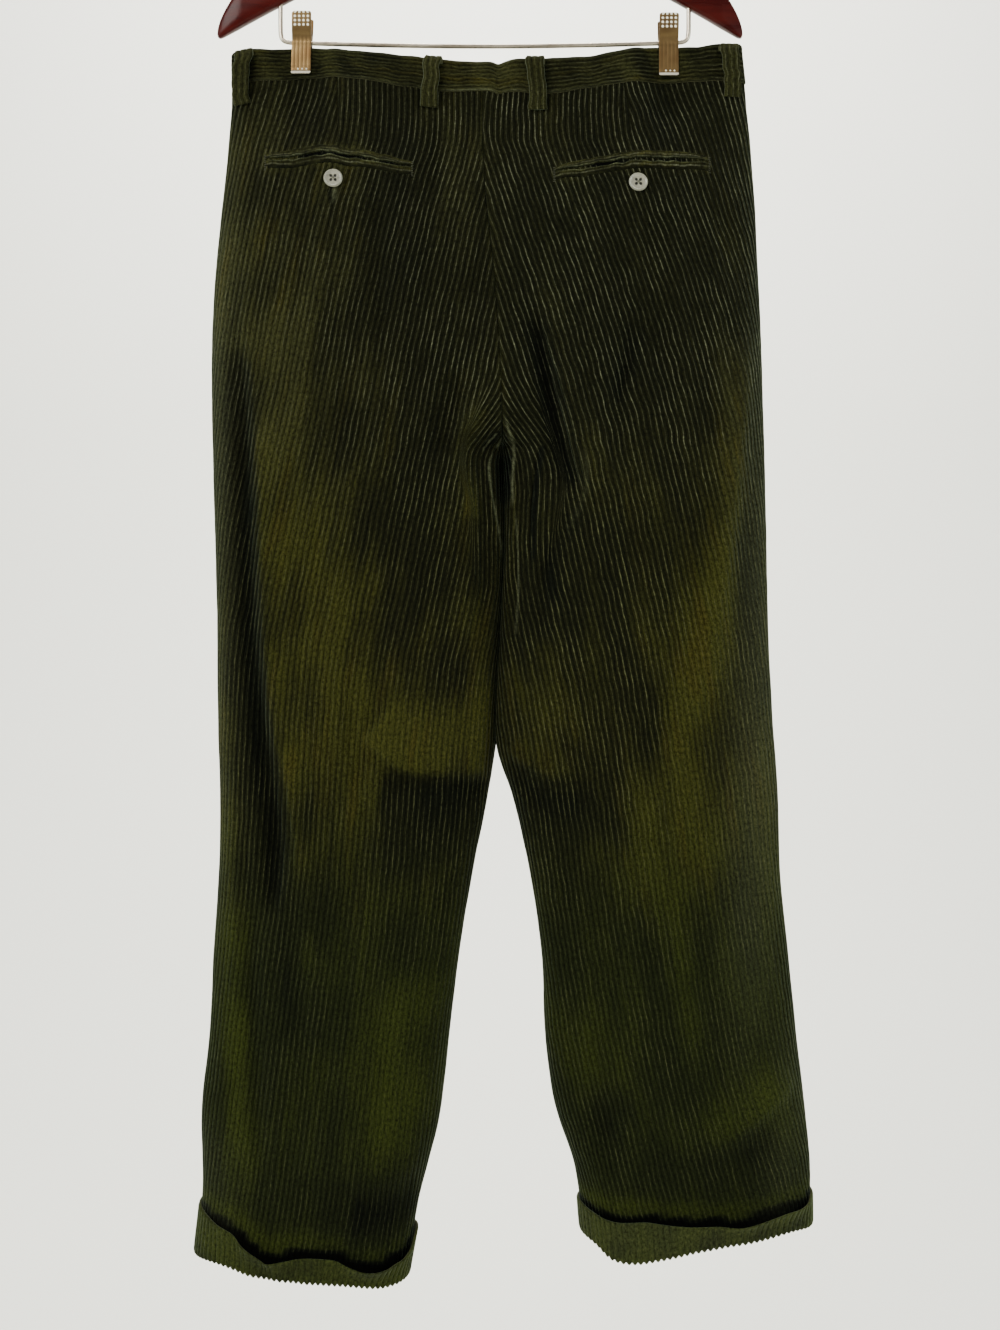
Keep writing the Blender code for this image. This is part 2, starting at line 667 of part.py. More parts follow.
def make_cuff(side):
    """Turn-up: the cloth folds under the leg's end and stands up outside it."""
    table = CUFFS[side]
    dense = np.linspace(0.0, 1.0, 2 * CUFF_WALES, endpoint=False)
    turn = np.linspace(0.0, pi, 17)[:-1]
    half = (1 - np.cos(turn)) / 2
    plain = np.concatenate([half / 2, 0.5 + half / 2])
    ridge = RIB * (np.arange(len(dense)) % 2)

    def top(around, out):
        known = [row.around for row in table]
        height = curve(around, known, column(table, "height"))
        flare = curve(around, known, column(table, "flare"))
        return on_leg(side, around, HEM_DROP - height, CUFF_CLEAR + flare + out)

    def low(around, up, out):
        return on_leg(side, around, HEM_DROP - up, out)

    rings = [
        top(dense, WALL + ridge),
        low(dense, CUFF_LIP, CUFF_CLEAR + WALL + ridge),
        low(plain, 0.0, CUFF_CLEAR + WALL / 2),
        low(plain, 0.0, -WALL),
        low(plain, CUFF_LIP, -WALL),
        low(plain, CUFF_LIP, CUFF_CLEAR),
        top(plain, 0.0),
    ]
    at = [dense, dense, plain, plain, plain, plain, plain]
    ring_solid("cuff_" + side, rings, at, corduroy())


# ---------------------------------------------------------------- hanger
def wood_line(x):
    """Middle line of the wooden arms: they fall as a power of the distance out."""
    return WOOD_NECK_Z - (WOOD_NECK_Z - WOOD_TIP_Z) * (np.abs(x) / WOOD_TIP_X) ** WOOD_POWER


def make_wood():
    """Arms as one bent bar: a rounded oblong section square to its middle line,
    drawn in at both ends."""
    reach = WOOD_TIP_X
    ends = np.array([0.0, 0.12, 0.4, 1.0]) * WOOD_END
    arm = np.linspace(0.17, 0.83, 4) * reach
    x = np.concatenate([-reach + ends, -arm[::-1], [0.0], arm, reach - ends[::-1]])
    path = np.stack([x, np.zeros_like(x), wood_line(x)], axis=1)
    along = unit(np.gradient(path, axis=0))
    upright = np.cross(along, (0.0, 1.0, 0.0))
    upright *= np.sign(upright[:, 2:])
    turn = np.linspace(0.0, 2 * pi, 10, endpoint=False)
    wide = np.sign(np.cos(turn)) * np.abs(np.cos(turn)) ** WOOD_ROUNDNESS * WOOD_HALF_THICK
    tall = np.sign(np.sin(turn)) * np.abs(np.sin(turn)) ** WOOD_ROUNDNESS * WOOD_HALF_HEIGHT
    closeness = np.clip((reach - np.abs(x)) / WOOD_END, 0.0, 1.0)
    rounding = np.sqrt(1 - (1 - closeness) ** 2)
    scale = WOOD_END_SCALE + (1 - WOOD_END_SCALE) * rounding
    sections = (path[:, None] + scale[:, None, None]
                * (wide[None, :, None] * np.array([0.0, 1.0, 0.0])
                   + tall[None, :, None] * upright[:, None]))
    loft("hanger_wood", sections, mahogany(), 60.0)


def make_hook():
    """Wire hook: a stem from the neck and most of a circle whose inner crown is the
    origin."""
    centre_z = HOOK_WIRE - HOOK_RADIUS
    neck_top = WOOD_NECK_Z + WOOD_HALF_HEIGHT + LAY_GAP
    stem = [(0.0, 0.0, neck_top)] + [(x * MM, 0.0, z * MM) for x, z in HOOK_STEM]
    turn = np.radians(np.linspace(-58, 205, 15))
    circle = np.stack([HOOK_RADIUS * np.cos(turn), 0 * turn,
                       centre_z + HOOK_RADIUS * np.sin(turn)], axis=1)
    rod("hanger_hook", np.concatenate([stem, circle]), HOOK_WIRE, 8, gold())


def bar_line(x):
    """Height of the bar between its bends: it sags a little in the middle."""
    middle = sum(BAR_ENDS_X) / 2
    half = (BAR_ENDS_X[1] - BAR_ENDS_X[0]) / 2
    return BAR_Z - BAR_SAG * np.cos(pi / 2 * (x - middle) / half)


def make_bar():
    """Trouser bar: it comes down from each arm, bends, and runs across."""
    rise = BAR_BEND_RISE
    ends = []
    for x, step in zip(BAR_ENDS_X, (1, -1)):
        slope = (wood_line(x + MM) - wood_line(x)) / MM
        under = wood_line(x) - WOOD_HALF_HEIGHT * np.sqrt(1 + slope ** 2) - BAR_ROOT_GAP
        ends.append([(x, 0.0, under), (x, 0.0, BAR_Z + rise),
                     (x + step * BAR_BEND_RUN / 4, 0.0, BAR_Z + rise * 0.4),
                     (x + step * BAR_BEND_RUN, 0.0, float(bar_line(x + step * BAR_BEND_RUN)))])
    inner = np.linspace(BAR_ENDS_X[0] + 2 * BAR_BEND_RUN, BAR_ENDS_X[1] - 2 * BAR_BEND_RUN, 7)
    run = [(x, 0.0, float(bar_line(x))) for x in inner]
    rod("hanger_bar", ends[0] + run + ends[1][::-1], BAR_RADIUS, 6, gold())


# Path of a clamp plate's inner face, in millimetres: height against the bar and
# distance from the middle plane.
PLATE_PATH = [(26.5, 9.5), (10, 6.8), (0, 4.3), (-7, 5.2), (-24, 5.2), (-27, 5.5)]
PLATE_THICK = 0.0010
PLATE_RIDGES = 5
PLATE_RIDGE = 0.0006
SPRING_RADIUS = 0.0036
SPRING_LENGTH = 0.009
SPRING_BORE = BAR_RADIUS + 0.0004


def make_clamps():
    """Each clamp: a back and a front plate with upright ridges, and the spring coil
    round the bar between them."""
    names = ("left", "right")
    path = np.array(PLATE_PATH) * MM
    over = np.linspace(-0.5, 0.5, 2 * PLATE_RIDGES + 1) * CLAMP_WIDTH
    ridge = PLATE_THICK + PLATE_RIDGE * (np.arange(len(over)) % 2)
    for name, x in zip(names, CLAMP_X):
        bar = float(bar_line(x))
        for face, word in ((-1, "back"), (1, "front")):
            sections = []
            for up, off in path:
                outer = np.stack([x + over, face * (off + ridge),
                                  np.full(len(over), bar + up)], axis=1)
                inner = np.array([(x + over[-1], face * off, bar + up),
                                  (x + over[0], face * off, bar + up)])
                sections.append(np.concatenate([outer, inner]))
            loft(f"clamp_{name}_{word}", np.array(sections), gold(), 30.0)
        turn = np.linspace(0.0, 2 * pi, 12, endpoint=False)
        rings = []
        half = SPRING_LENGTH / 2
        for offset, radius in ((-half, SPRING_RADIUS), (half, SPRING_RADIUS),
                               (half, SPRING_BORE), (-half, SPRING_BORE)):
            rings.append(np.stack([np.full(12, x + offset), radius * np.cos(turn),
                                   bar + radius * np.sin(turn)], axis=1))
        at = [turn / (2 * pi)] * 4
        ring_solid(f"clamp_{name}_spring", rings, at, gold())


def main():
    clear_scene()
    for panel in PANELS:
        make_panel(panel)
    make_band("waistband_back", -1)
    make_band("waistband_front", 1)
    for number, loop in enumerate(LOOPS, start=1):
        make_loop(f"belt_loop_{number}", loop)
    for side in ("left", "right"):
        for which in ("upper", "lower"):
            make_welt(f"welt_{side}_{which}", side, which)
        x, drop = POCKET_BUTTONS[side]
        make_button("pocket_button_" + side, "panel_back_" + side, x, drop, POCKET_BUTTON_CLEAR)
        make_cuff(side)
    make_fly()
    x, drop = WAIST_BUTTON
    make_button("waist_button", "panel_front_right", x, drop, WAIST_BUTTON_CLEAR)
    make_wood()
    make_hook()
    make_bar()
    make_clamps()


main()
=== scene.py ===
"""Wide-wale corduroy trousers on a wooden clamp hanger: the finished look, built round
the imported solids. Units are metres, +Z is up and the wearer's back faces -Y. "Drop" is
the distance below the waistband's top edge; "across" runs over a panel from its side
seam (0) to the centre seam or inseam (1).
"""
import json
from collections import namedtuple
from math import cos, pi, radians, sin

import bpy
import numpy as np
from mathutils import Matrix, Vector

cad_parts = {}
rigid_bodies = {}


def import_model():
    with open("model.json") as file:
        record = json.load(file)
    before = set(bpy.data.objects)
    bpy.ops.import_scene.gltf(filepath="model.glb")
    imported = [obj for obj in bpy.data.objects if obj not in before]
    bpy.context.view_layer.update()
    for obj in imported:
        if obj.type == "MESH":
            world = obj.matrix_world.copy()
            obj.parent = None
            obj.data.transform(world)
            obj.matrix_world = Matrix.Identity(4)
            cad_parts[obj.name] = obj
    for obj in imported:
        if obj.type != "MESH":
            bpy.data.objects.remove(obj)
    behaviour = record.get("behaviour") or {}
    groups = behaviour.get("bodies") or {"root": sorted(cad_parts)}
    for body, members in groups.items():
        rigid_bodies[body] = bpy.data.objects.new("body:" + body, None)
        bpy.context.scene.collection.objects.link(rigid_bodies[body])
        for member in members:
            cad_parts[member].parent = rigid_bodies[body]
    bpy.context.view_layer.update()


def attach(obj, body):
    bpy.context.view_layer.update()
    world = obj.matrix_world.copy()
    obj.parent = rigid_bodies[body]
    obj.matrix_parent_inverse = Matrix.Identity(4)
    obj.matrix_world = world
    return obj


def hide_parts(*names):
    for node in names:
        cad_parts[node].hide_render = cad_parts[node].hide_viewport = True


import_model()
MM = 0.001


def rows(fields, table):
    """Named rows from plain ones: one list of them, or a list for each name."""
    row = namedtuple("row", fields)
    if isinstance(table, dict):
        return {name: [row(*values) for values in part] for name, part in table.items()}
    return [row(*values) for values in table]


# ---------------------------------------------------------------- sizes of the cloth
SEAM_GAP = 0.0002
CLOTH = 0.0012             # ground cloth
WALE_HEIGHT = 0.00092      # pile over the ground cloth
WALE_TOP = 0.00485         # pitch of the wales at the seat, and at the hems
WALE_HEM = 0.00455
WALE_STEPS = np.array([0.0, 0.10, 0.28, 0.5, 0.72, 0.90])
SEAM_FADE = 0.0011         # the pile dies away this close to a seam

WAIST_TOP_Z = -0.242
SAG_REACH = 0.16           # the waist's own shape dies away over this drop
BAND_WALES = 8
BAND_PROUD = 0.0009
BAND_INSIDE = 0.0017
PANEL_TOP = 0.0235         # the panels' tops lie tucked behind the band
CROTCH_DROP = 0.349
FORK_START = 0.312
HEM_DROP = 1.060
LEG_END = HEM_DROP - 0.0021
HEM_LIFT_START = 0.86
CLAMP_WIDTH = 0.017
SIDE_POWER = 2.4
FRONT_DEPTH = 0.92
FLATTEST = 0.003
MEET_END = 0.575           # the legs lie against each other down to here
MEET_FADE = 0.06
MEET_SWAY = 0.0025         # the line where they meet bends this far from back to front
MEET_DEPTH = 0.009
FOLD_FREE = 0.6
PRESSED = 0.2              # share of the creases' height that the wales are counted on
LINE_STEPS = 29            # straight steps in a crease's line

# The waist's upper edge, in millimetres: height against WAIST_TOP_Z.
WAIST_EDGE = rows("x rise", [
    (-225, -2.2), (-201, -0.9), (-151, 0.6), (-118, -3.2), (-67, -8.7), (-34, -12.9), (-8, -15.3),
    (4, -15.8), (9.5, -17.4), (15, -14.6), (20, -12.4), (38, -11.6), (66, -10.5), (101, -6.1),
    (137, 0.4), (172, 1.2), (198, 2.4), (222, 4.8),
])

# One row for each drop, in millimetres: where the folds and seams stand, how deep the
# half section is, and the share of that depth left at the centre seam.
SECTIONS = rows("drop left_side left_inner right_inner right_side depth centre", [
    (0, -223.5, -2.5, -2.5, 222, 10, 1.45), (53, -224.5, -1.5, -1.5, 227, 19, 1.2),
    (123, -230.5, 0.3, 0.3, 233, 33, 1.03), (194, -237.5, 7.5, 7.5, 236.5, 44, 0.98),
    (264, -241, 13, 13, 239.5, 49, 0.95), (343, -240.5, 15.5, 15.5, 242, 48, 0.9),
    (422, -238.5, 17, 17, 244, 47, 0.9), (502, -236.5, 13.5, 13.5, 245.5, 46, 0.9),
    (572, -236, 9.5, 9.5, 248.5, 46, 0.9), (616, -235, 7, 8.5, 251.5, 44, 0.9),
    (651, -234, 1.5, 20, 254, 43, 0.9), (722, -235, -12.5, 36.5, 256, 43, 0.9),
    (792, -239.5, -24, 47, 263, 43, 0.9), (862, -243, -32.7, 50, 270, 44, 0.9),
    (933, -250, -41.5, 58.5, 277, 44, 0.9), (1003, -249, -60.5, 76.5, 282, 44, 0.9),
    (1060, -254, -70, 83, 282, 45, 0.9),
])

# Side -1 is left, face -1 is the back.
PANELS = rows("name node side face row_step", [
    ("leg_back_left", "panel_back_left", -1, -1, 0.0064),
    ("leg_back_right", "panel_back_right", 1, -1, 0.0064),
    ("leg_front_left", "panel_front_left", -1, 1, 0.0090),
    ("leg_front_right", "panel_front_right", 1, 1, 0.0090),
])
BACK_LEFT, BACK_RIGHT, FRONT_LEFT, FRONT_RIGHT = PANELS

# Folds and creases, in millimetres and degrees: the middle, half length along the
# fold, half width, lean of its top to the right and height (+ ridge, - trough).
FOLDS = rows("x drop reach width lean height", {
    "leg_back_left": [
        (-163, 10, 58, 26, 0, -14), (-33, 327, 35, 13, 15, -8), (-94, 185, 45, 10, 2, -3),
        (-43, 100, 45, 9, 3, -4), (-112, 620, 55, 7, -11, -4), (-2, 443, 100, 7, 0, -5),
        (-100, 918, 60, 35, 20, 4), (-104, 1002, 40, 20, 80, -4), (-70, 250, 90, 7, 6, 2),
        (-150, 250, 80, 8, 9, 2), (-128, 470, 110, 8, 5, 2), (-90, 520, 80, 7, 8, -2),
        (-200, 845, 110, 10, -2, -4), (-68, 820, 70, 8, 12, 2.5),
    ],
    "leg_back_right": [
        (159, 10, 58, 26, 0, -14), (210, 390, 160, 12, 7.5, 5), (139, 182, 40, 9, 0, -3),
        (118, 293, 50, 8, 6, -4), (32, 443, 100, 9, 2, -5), (200, 656, 60, 25, 30, 4),
        (217.7, 951, 55, 14, 40, 5), (100.7, 938, 40, 14, -10, -4), (168, 270, 80, 9, -6, 2),
        (150, 480, 120, 9, -3, 2), (185, 800, 120, 10, -5, -3), (120, 760, 80, 9, -8, 2.5),
    ],
    "leg_front_left": [
        (-163, 10, 58, 26, 0, -14), (-130, 420, 240, 16, -3, -7), (-60, 640, 60, 26, 65, -8),
        (-30, 360, 70, 12, 20, -6), (-185, 700, 140, 12, -4, -5), (-52, 598, 55, 24, 70, 6),
        (-80, 200, 90, 10, 4, -3), (-14, 318, 40, 9, 28, 5), (-105, 900, 70, 30, 18, 4),
        (-175, 250, 110, 9, 3, 2.5),
    ],
    "leg_front_right": [
        (159, 10, 58, 26, 0, -14), (140, 400, 220, 16, 4, -7), (84, 630, 60, 26, -62, -8),
        (52, 360, 70, 12, -20, -6), (190, 690, 140, 12, 5, -5), (60, 590, 50, 24, -68, 6),
        (86, 205, 90, 10, -4, -3), (30, 318, 40, 9, -24, 5), (165, 900, 70, 28, -20, 4),
        (185, 255, 110, 9, -3, 2.5),
    ],
})

# Longer creases, in millimetres: the (x, drop) line that each follows, its width on
# the left of that line (or below it, for a line that runs to the right), its width on
# the other side, its height, how its nap lies with painted shading (as in the patch
# table below: troughs are mostly painted darker, ridges paler) and the length of its ends.
CREASE = "line before after height nap ends"
CREASES = rows(CREASE, {
    "leg_back_left": [
        ([(-213, 255), (-208, 349), (-205, 451), (-200, 537), (-192, 597), (-184, 656), (-179, 699),
        (-185, 767)], 13, 7, -9, -1.0, 40), ([(-192, 315), (-191, 451), (-187, 537), (-179, 605),
        (-168, 656)], 5, 16, 3, 0.25, 40), ([(-173, 601), (-169, 648), (-162, 699), (-160, 729)], 3, 9,
        3.5, 0.2, 25), ([(-117, 588), (-111, 631), (-98, 682)], 3, 8, 2.5, 0.2, 25), ([(-106, 599),
        (-87, 615), (-68, 628), (-32, 632), (5, 633)], 5, 40, 9, 0.6, 10), ([(-96, 642), (-57, 649),
        (-15, 648), (4, 645)], 26, 9, -6, -1.1, 14), ([(-2, 318), (-14, 332), (-22, 352), (-22, 372),
        (-15, 398), (-11, 420)], 7, 6, 4.5, 0.4, 12), ([(-3, 353), (5, 345), (12, 341)], 1.8, 1.8, -2.5,
        -2.2, 3), ([(11, 356), (12, 366), (13, 384), (16, 400)], 4, 6, -4, -3.5, 6), ([(2, 352),
        (3, 383), (8, 410), (12, 440)], 3, 2.5, 1.5, 0.2, 8), ([(-136, 127), (-132, 146)], 1.5, 1.2,
        -1.6, -2.0, 4), ([(-168, 964), (-126, 972), (-96, 974), (-66, 964), (-46, 949)], 9, 36, 5, 0.25,
        20), ([(-126, 1002), (-87, 1008), (-49, 994)], 24, 16, -4, -0.8, 20), ([(-168, 784),
        (-170, 827), (-160, 878)], 22, 20, -3, -0.35, 30),
    ],
    "leg_back_right": [
        ([(42, 229), (51, 272), (59, 310), (67, 349), (77, 385), (79, 400)], 14, 5, -10, -0.7, 25),
        ([(44, 250), (53, 312), (61.5, 344), (70, 372), (77.5, 391)], 5, 2.2, 0, -1.8, 20), ([(59, 272),
        (72, 319), (82, 357), (88, 393)], 5, 15, 5, 0.05, 25), ([(79, 400), (67, 426), (55, 453),
        (50, 485), (49, 528)], 9, 9, -5, -0.6, 25), ([(18, 356), (18, 366), (17.5, 384), (17, 400)], 5,
        3, -4, -3.5, 6), ([(48, 348), (44, 372), (41, 400), (39.5, 455)], 1.6, 2.2, -2.2, -2.4, 14),
        ([(19, 335), (24, 352), (22.5, 382), (24, 413), (27, 451)], 2, 3, 1.5, 0.2, 8), ([(132, 246),
        (120, 289), (106, 322)], 9, 8, -4, -0.5, 20), ([(223, 246), (219, 315), (212, 383), (201, 460),
        (184, 545), (165, 605), (143, 656), (131, 699)], 18, 8, 4, 0.35, 40), ([(236, 255), (233, 374),
        (224, 485), (212, 571), (195, 648), (182, 708)], 14, 20, -3, -0.3, 50), ([(14, 609), (37, 626),
        (58, 634), (78, 626)], 5, 24, 6, 0.35, 12), ([(17, 629), (41, 652), (67, 656), (96, 648)], 22,
        8, -4, -0.7, 14), ([(18, 629), (30, 654), (48, 680)], 4, 5, 2.5, 0.3, 12), ([(156, 977),
        (199, 955), (237, 930), (270, 895)], 8, 26, 5, 0.3, 20), ([(173, 994), (216, 981), (259, 964)],
        18, 12, -3, -0.4, 20), ([(88, 951), (109, 930), (131, 917)], 16, 16, -4, -0.4, 16),
    ],
    "leg_front_left": [
        ([(-208, 260), (-203, 420), (-196, 560), (-188, 700)], 12, 8, -6, -0.6, 50), ([(-104, 604),
        (-66, 630), (-25, 636), (4, 632)], 6, 36, 7, 0.25, 12), ([(-90, 648), (-50, 656), (2, 650)], 24,
        10, -4, -0.4, 14), ([(-160, 958), (-110, 968), (-60, 950)], 9, 36, 4, 0.5, 20),
    ],
    "leg_front_right": [
        ([(48, 240), (60, 310), (72, 380)], 12, 7, -6, -0.8, 30), ([(220, 250), (214, 380), (190, 530),
        (150, 650)], 16, 8, 4, 0.3, 50), ([(14, 606), (44, 630), (82, 622)], 6, 32, 6, 0.2, 12),
        ([(160, 970), (205, 948), (255, 905)], 8, 26, 4, 0.3, 20),
    ],
})

# The hem's shape, in millimetres: place from the side fold (-1) to the inner fold (+1)
# and height above HEM_DROP.
HEMS = rows("place lift", {
    "leg_back_left": [
        (-1, 6.5), (-0.87, 7), (-0.66, 4.5), (-0.46, -1), (-0.22, -4.5), (0.05, -7), (0.3, -9),
        (0.5, -11.5), (0.7, -14.3), (0.8, -15.3), (0.91, -14.5), (1, -12.5),
    ],
    "leg_front_left": [
        (-1, 6.5), (0, -5), (1, -12.5),
    ],
    "leg_back_right": [
        (-1, 32), (-0.77, 32.5), (-0.52, 28), (-0.27, 24.5), (-0.03, 20.5), (0.22, 15), (0.42, 10.5),
        (0.56, 7.6), (0.66, 7.2), (0.78, 10.5), (0.88, 19.5), (1, 26),
    ],
    "leg_front_right": [
        (-1, 32), (0, 25), (1, 26),
    ],
})

# Turn-ups, in millimetres: place from the side fold (-1) to the inner fold (+1),
# standing height and stand-off of the top edge.
CUFFS = rows("place height flare", {
    "leg_back_left": [
        (-1, 44, -0.6), (-0.93, 40, 0), (-0.80, 34, 3.5), (-0.62, 30, 7), (-0.48, 24, 10),
        (-0.33, 16, 11), (-0.25, 15, 11), (-0.14, 18.5, 10), (-0.01, 21, 8), (0.14, 22.5, 7),
        (0.30, 22, 8.5), (0.43, 18.5, 11), (0.56, 15, 12), (0.68, 15.5, 11), (0.82, 19.5, 7.5),
        (0.92, 23, 4.5), (0.97, 28, 2.6), (1, 38, 1.2),
    ],
    "leg_front_left": [
        (-1, 44, -0.6), (-0.8, 38, 2.5), (-0.3, 33, 6), (0.3, 35, 5), (0.8, 37, 2.4), (1, 38, 1.2),
    ],
    "leg_back_right": [
        (-1, 29, -0.6), (-0.97, 27.5, 0), (-0.93, 24, 2.5), (-0.84, 21, 7), (-0.69, 20, 10),
        (-0.5, 18.7, 11), (-0.33, 16.5, 11), (-0.15, 20, 9), (0.10, 25, 8), (0.30, 30.5, 6.5),
        (0.49, 36.0, 5), (0.68, 35.0, 4), (0.78, 33.5, 3), (0.905, 28, 1), (1, 28, -0.6),
    ],
    "leg_front_right": [
        (-1, 29, -0.6), (-0.7, 28, 3), (0, 31, 6), (0.6, 30, 4), (1, 28, -0.6),
    ],
})

# Inner strips whose wales arch round the crotch and run on beside the inseam, in
# millimetres: for each drop, the fold that bounds the strip and the wales hidden in it.
TURNS = rows("drop fold hidden", {
    "leg_back_left": [
        (292, 8, 0), (312, -4, 0.8), (328, -11, 2.2), (349, -20, 4.6), (360, -21, 5.3),
        (379, -20.5, 4.6), (400, -15, 3.4), (451, -12, 1), (472, -10, 0),
    ],
    "leg_back_right": [
        (298, 40, 0), (328, 50, 1.5), (356, 60, 3.8), (383, 66, 3.7), (410, 62, 2.2), (451, 52, 0.4),
        (472, 49, 0),
    ],
})

# Pale edges, partly worn pile and partly a painted highlight on fold crowns, in
# millimetres: the line, its two widths and its strength.
PALE = rows(CREASE, {
    "leg_back_left": [
        ([(5, 353), (1, 370), (2.5, 386), (6, 406), (10, 428), (12, 448)], 0.7, 0.7, 0.6, 0, 14),
        ([(-131.5, 128), (-131, 143)], 2.2, 2.2, 0.35, 0, 5), ([(9, 341), (1, 348), (-5, 356)], 0.8,
        0.8, 0.6, 0, 3), ([(12, 346), (7, 351)], 0.8, 0.8, 0.7, 0, 2),
    ],
    "leg_back_right": [
        ([(15.5, 326), (19, 340), (23, 350), (23.5, 358), (22, 382), (23, 405)], 0.8, 0.8, 0.6, 0, 12),
        ([(24, 405), (26, 430), (27, 480), (24, 520)], 0.7, 0.7, 0.4, 0, 16), ([(84, 350), (85, 392),
        (75, 416), (66, 430)], 2.2, 0.8, 0.10, 0, 14),
    ],
})

# Back pockets, in millimetres: the upper edge of each upper welt, and where the welts
# start and stop below it, in the middle and at the ends.
POCKETS = rows("x drop", {
    "left": [
        (-192, 97.6), (-166, 95.5), (-148, 92.4), (-135, 91.7), (-120, 93.6), (-102, 95.0), (-88, 98.1),
        (-79, 101.0), (-64, 103.4),
    ],
    "right": [
        (58, 108.6), (68, 105.0), (89, 101.5), (105, 98.8), (123, 97.2), (139, 96.8), (159, 97.2),
        (178, 98.2), (192, 100.8),
    ],
})
Welt = namedtuple("Welt", "start stop end_start end_stop")
WELTS = {"upper": Welt(0.0, 6.8, 1.2, 5.6), "lower": Welt(9.8, 16.8, 7.2, 14.6)}
MOUTH = 8.3                # middle of the dark mouth below the upper edge

# One thread of each panel's grain: where a wale that starts at the hem runs.
GRAIN = rows("drop x", {
    "leg_back_left": [
        (0, 20), (100, -1), (182, -20), (259, -37), (336, -52.5), (413, -69.5), (490, -87), (528, -95),
        (567, -100), (605, -103), (682, -108.5), (759, -116), (836, -126), (912, -136), (989, -147.5),
        (1060, -158.5),
    ],
    "leg_back_right": [
        (0, -42), (67, -29), (144, -9), (221, 16), (298, 41), (336, 52.5), (413, 71), (490, 87.5),
        (567, 104.5), (643, 117), (720, 128), (797, 140), (874, 153.5), (951, 170), (1060, 197),
    ],
    "leg_front_left": [
        (0, -95), (343, -104), (651, -116), (862, -138), (1060, -160),
    ],
    "leg_front_right": [
        (0, 95), (343, 108), (651, 136), (862, 160), (1060, 187),
    ],
})

# Waist darts: line of the dart at the waist seam and at its point, and cloth taken in.
Dart = namedtuple("Dart", "x_top drop_top x_point drop_point intake")
DARTS = {
    "leg_back_left": Dart(-131, 26, -129.5, 84, 11),
    "leg_back_right": Dart(118, 26, 127, 84, 15),
}

# Patches where the nap lies another way, with painted light and shade, in millimetres:
# + paler and more olive where painted light falls, - darker and cooler in painted shade.
PATCH = "x drop reach width lean strength"
NAP_AND_SHADING = rows(PATCH, {
    "leg_back_left": [
        (-195, 150, 170, 46, -3, 0.36), (-75, 170, 110, 34, 3, -0.50), (-25, 130, 70, 18, 5, 0.15),
        (-50, 380, 100, 28, 7, -0.35), (-165, 450, 230, 38, -2, 0.62), (-112, 570, 120, 30, 6, 0.50),
        (-62, 600, 48, 30, 76, 0.55), (-8, 545, 60, 11, 0, 0.6), (-203, 520, 170, 9, -2, -0.6),
        (-234, 450, 330, 12, 0, 0.3), (-180, 730, 130, 12, -6, -0.7), (-110, 780, 150, 60, -5, 0.15),
        (-218, 800, 170, 13, -4, 0.5), (-45, 690, 45, 20, 70, -0.4), (-80, 890, 75, 34, 10, 0.45),
        (-104, 985, 55, 30, 82, -0.4), (-215, 930, 90, 16, 0, 0.5), (-20, 330, 40, 14, 20, 0.15),
    ],
    "leg_back_right": [
        (46, 300, 110, 10, -10, -0.5), (130, 170, 170, 90, 0, -0.40), (196, 470, 130, 26, 3, 0.45),
        (186, 620, 125, 40, 3, 0.60), (246, 520, 330, 15, 2, 0.3), (46, 575, 45, 20, -55, 0.35),
        (170, 800, 120, 90, 0, 0.20), (150, 690, 70, 60, 0, 0.25), (90, 880, 110, 26, -10, 0.2),
        (76, 665, 50, 20, -65, -0.4), (56, 462, 28, 7, -10, -0.7), (100, 950, 40, 22, 0, -0.3),
        (175, 976, 50, 20, 72, -0.4), (215, 930, 40, 26, 50, 0.4), (60, 470, 110, 12, 0, 0.1),
        (78, 470, 60, 14, 0, -0.3),
    ],
    "leg_front_left": [
        (-60, 600, 70, 34, 70, 0.44), (-130, 420, 250, 16, -3, -0.39), (-100, 250, 120, 40, 5, 0.17),
        (-120, 900, 90, 50, 8, 0.22), (-70, 665, 50, 20, 66, -0.33),
    ],
    "leg_front_right": [
        (66, 590, 60, 30, -66, 0.39), (140, 400, 230, 16, 4, -0.39), (110, 240, 120, 40, -5, 0.17),
        (170, 900, 90, 50, -8, 0.19), (86, 655, 50, 20, -62, -0.33),
    ],
})

# Broad grey painted sheen where the cloth turns away at the sides.
SIDE_SHEEN = rows(PATCH, {
    "leg_back_left": [
        (-236, 430, 330, 14, 0, 0.13), (-238, 1000, 60, 26, 0, 0.05),
    ],
    "leg_back_right": [
        (238, 540, 300, 26, 2, 0.15), (262, 950, 120, 20, 8, 0.06),
    ],
})


# ---------------------------------------------------------------- small helpers
def smooth(t):
    """Ease from 0 to 1: 3t^2 - 2t^3, held at its ends."""
    t = np.clip(t, 0.0, 1.0)
    return t * t * (3.0 - 2.0 * t)


def bell(value, width, power=2):
    """One in the middle, dying away on both sides: exp(-(value / width)^power)."""
    return np.exp(-(value / width) ** power)


def curve(at, known_at, values):
    """Smooth line through given values: cubic pieces whose slopes are the means of the
    neighbouring chords."""
    known_at = np.asarray(known_at, float)
    values = np.asarray(values, float)
    slopes = np.gradient(values, known_at)
    piece = np.clip(np.searchsorted(known_at, at, side="right") - 1, 0, len(known_at) - 2)
    step = known_at[piece + 1] - known_at[piece]
    t = np.clip((at - known_at[piece]) / step, 0.0, 1.0)
    return ((1 + 2 * t) * (1 - t) ** 2 * values[piece] + t * (1 - t) ** 2 * step * slopes[piece]
            + t * t * (3 - 2 * t) * values[piece + 1] + t * t * (t - 1) * step * slopes[piece + 1])


def column(table, field):
    """One named column of a table, from millimetres to metres."""
    return np.array([getattr(row, field) for row in table]) * MM


def read(table, key, field, at):
    """A table's column at the given values of its key column, both in metres."""
    return curve(at, column(table, key), column(table, field))


def round_leg(table, field, across):
    """A column of a table of places from fold to fold, at the given shares across."""
    return curve(2 * across - 1, [row.place for row in table], column(table, field))


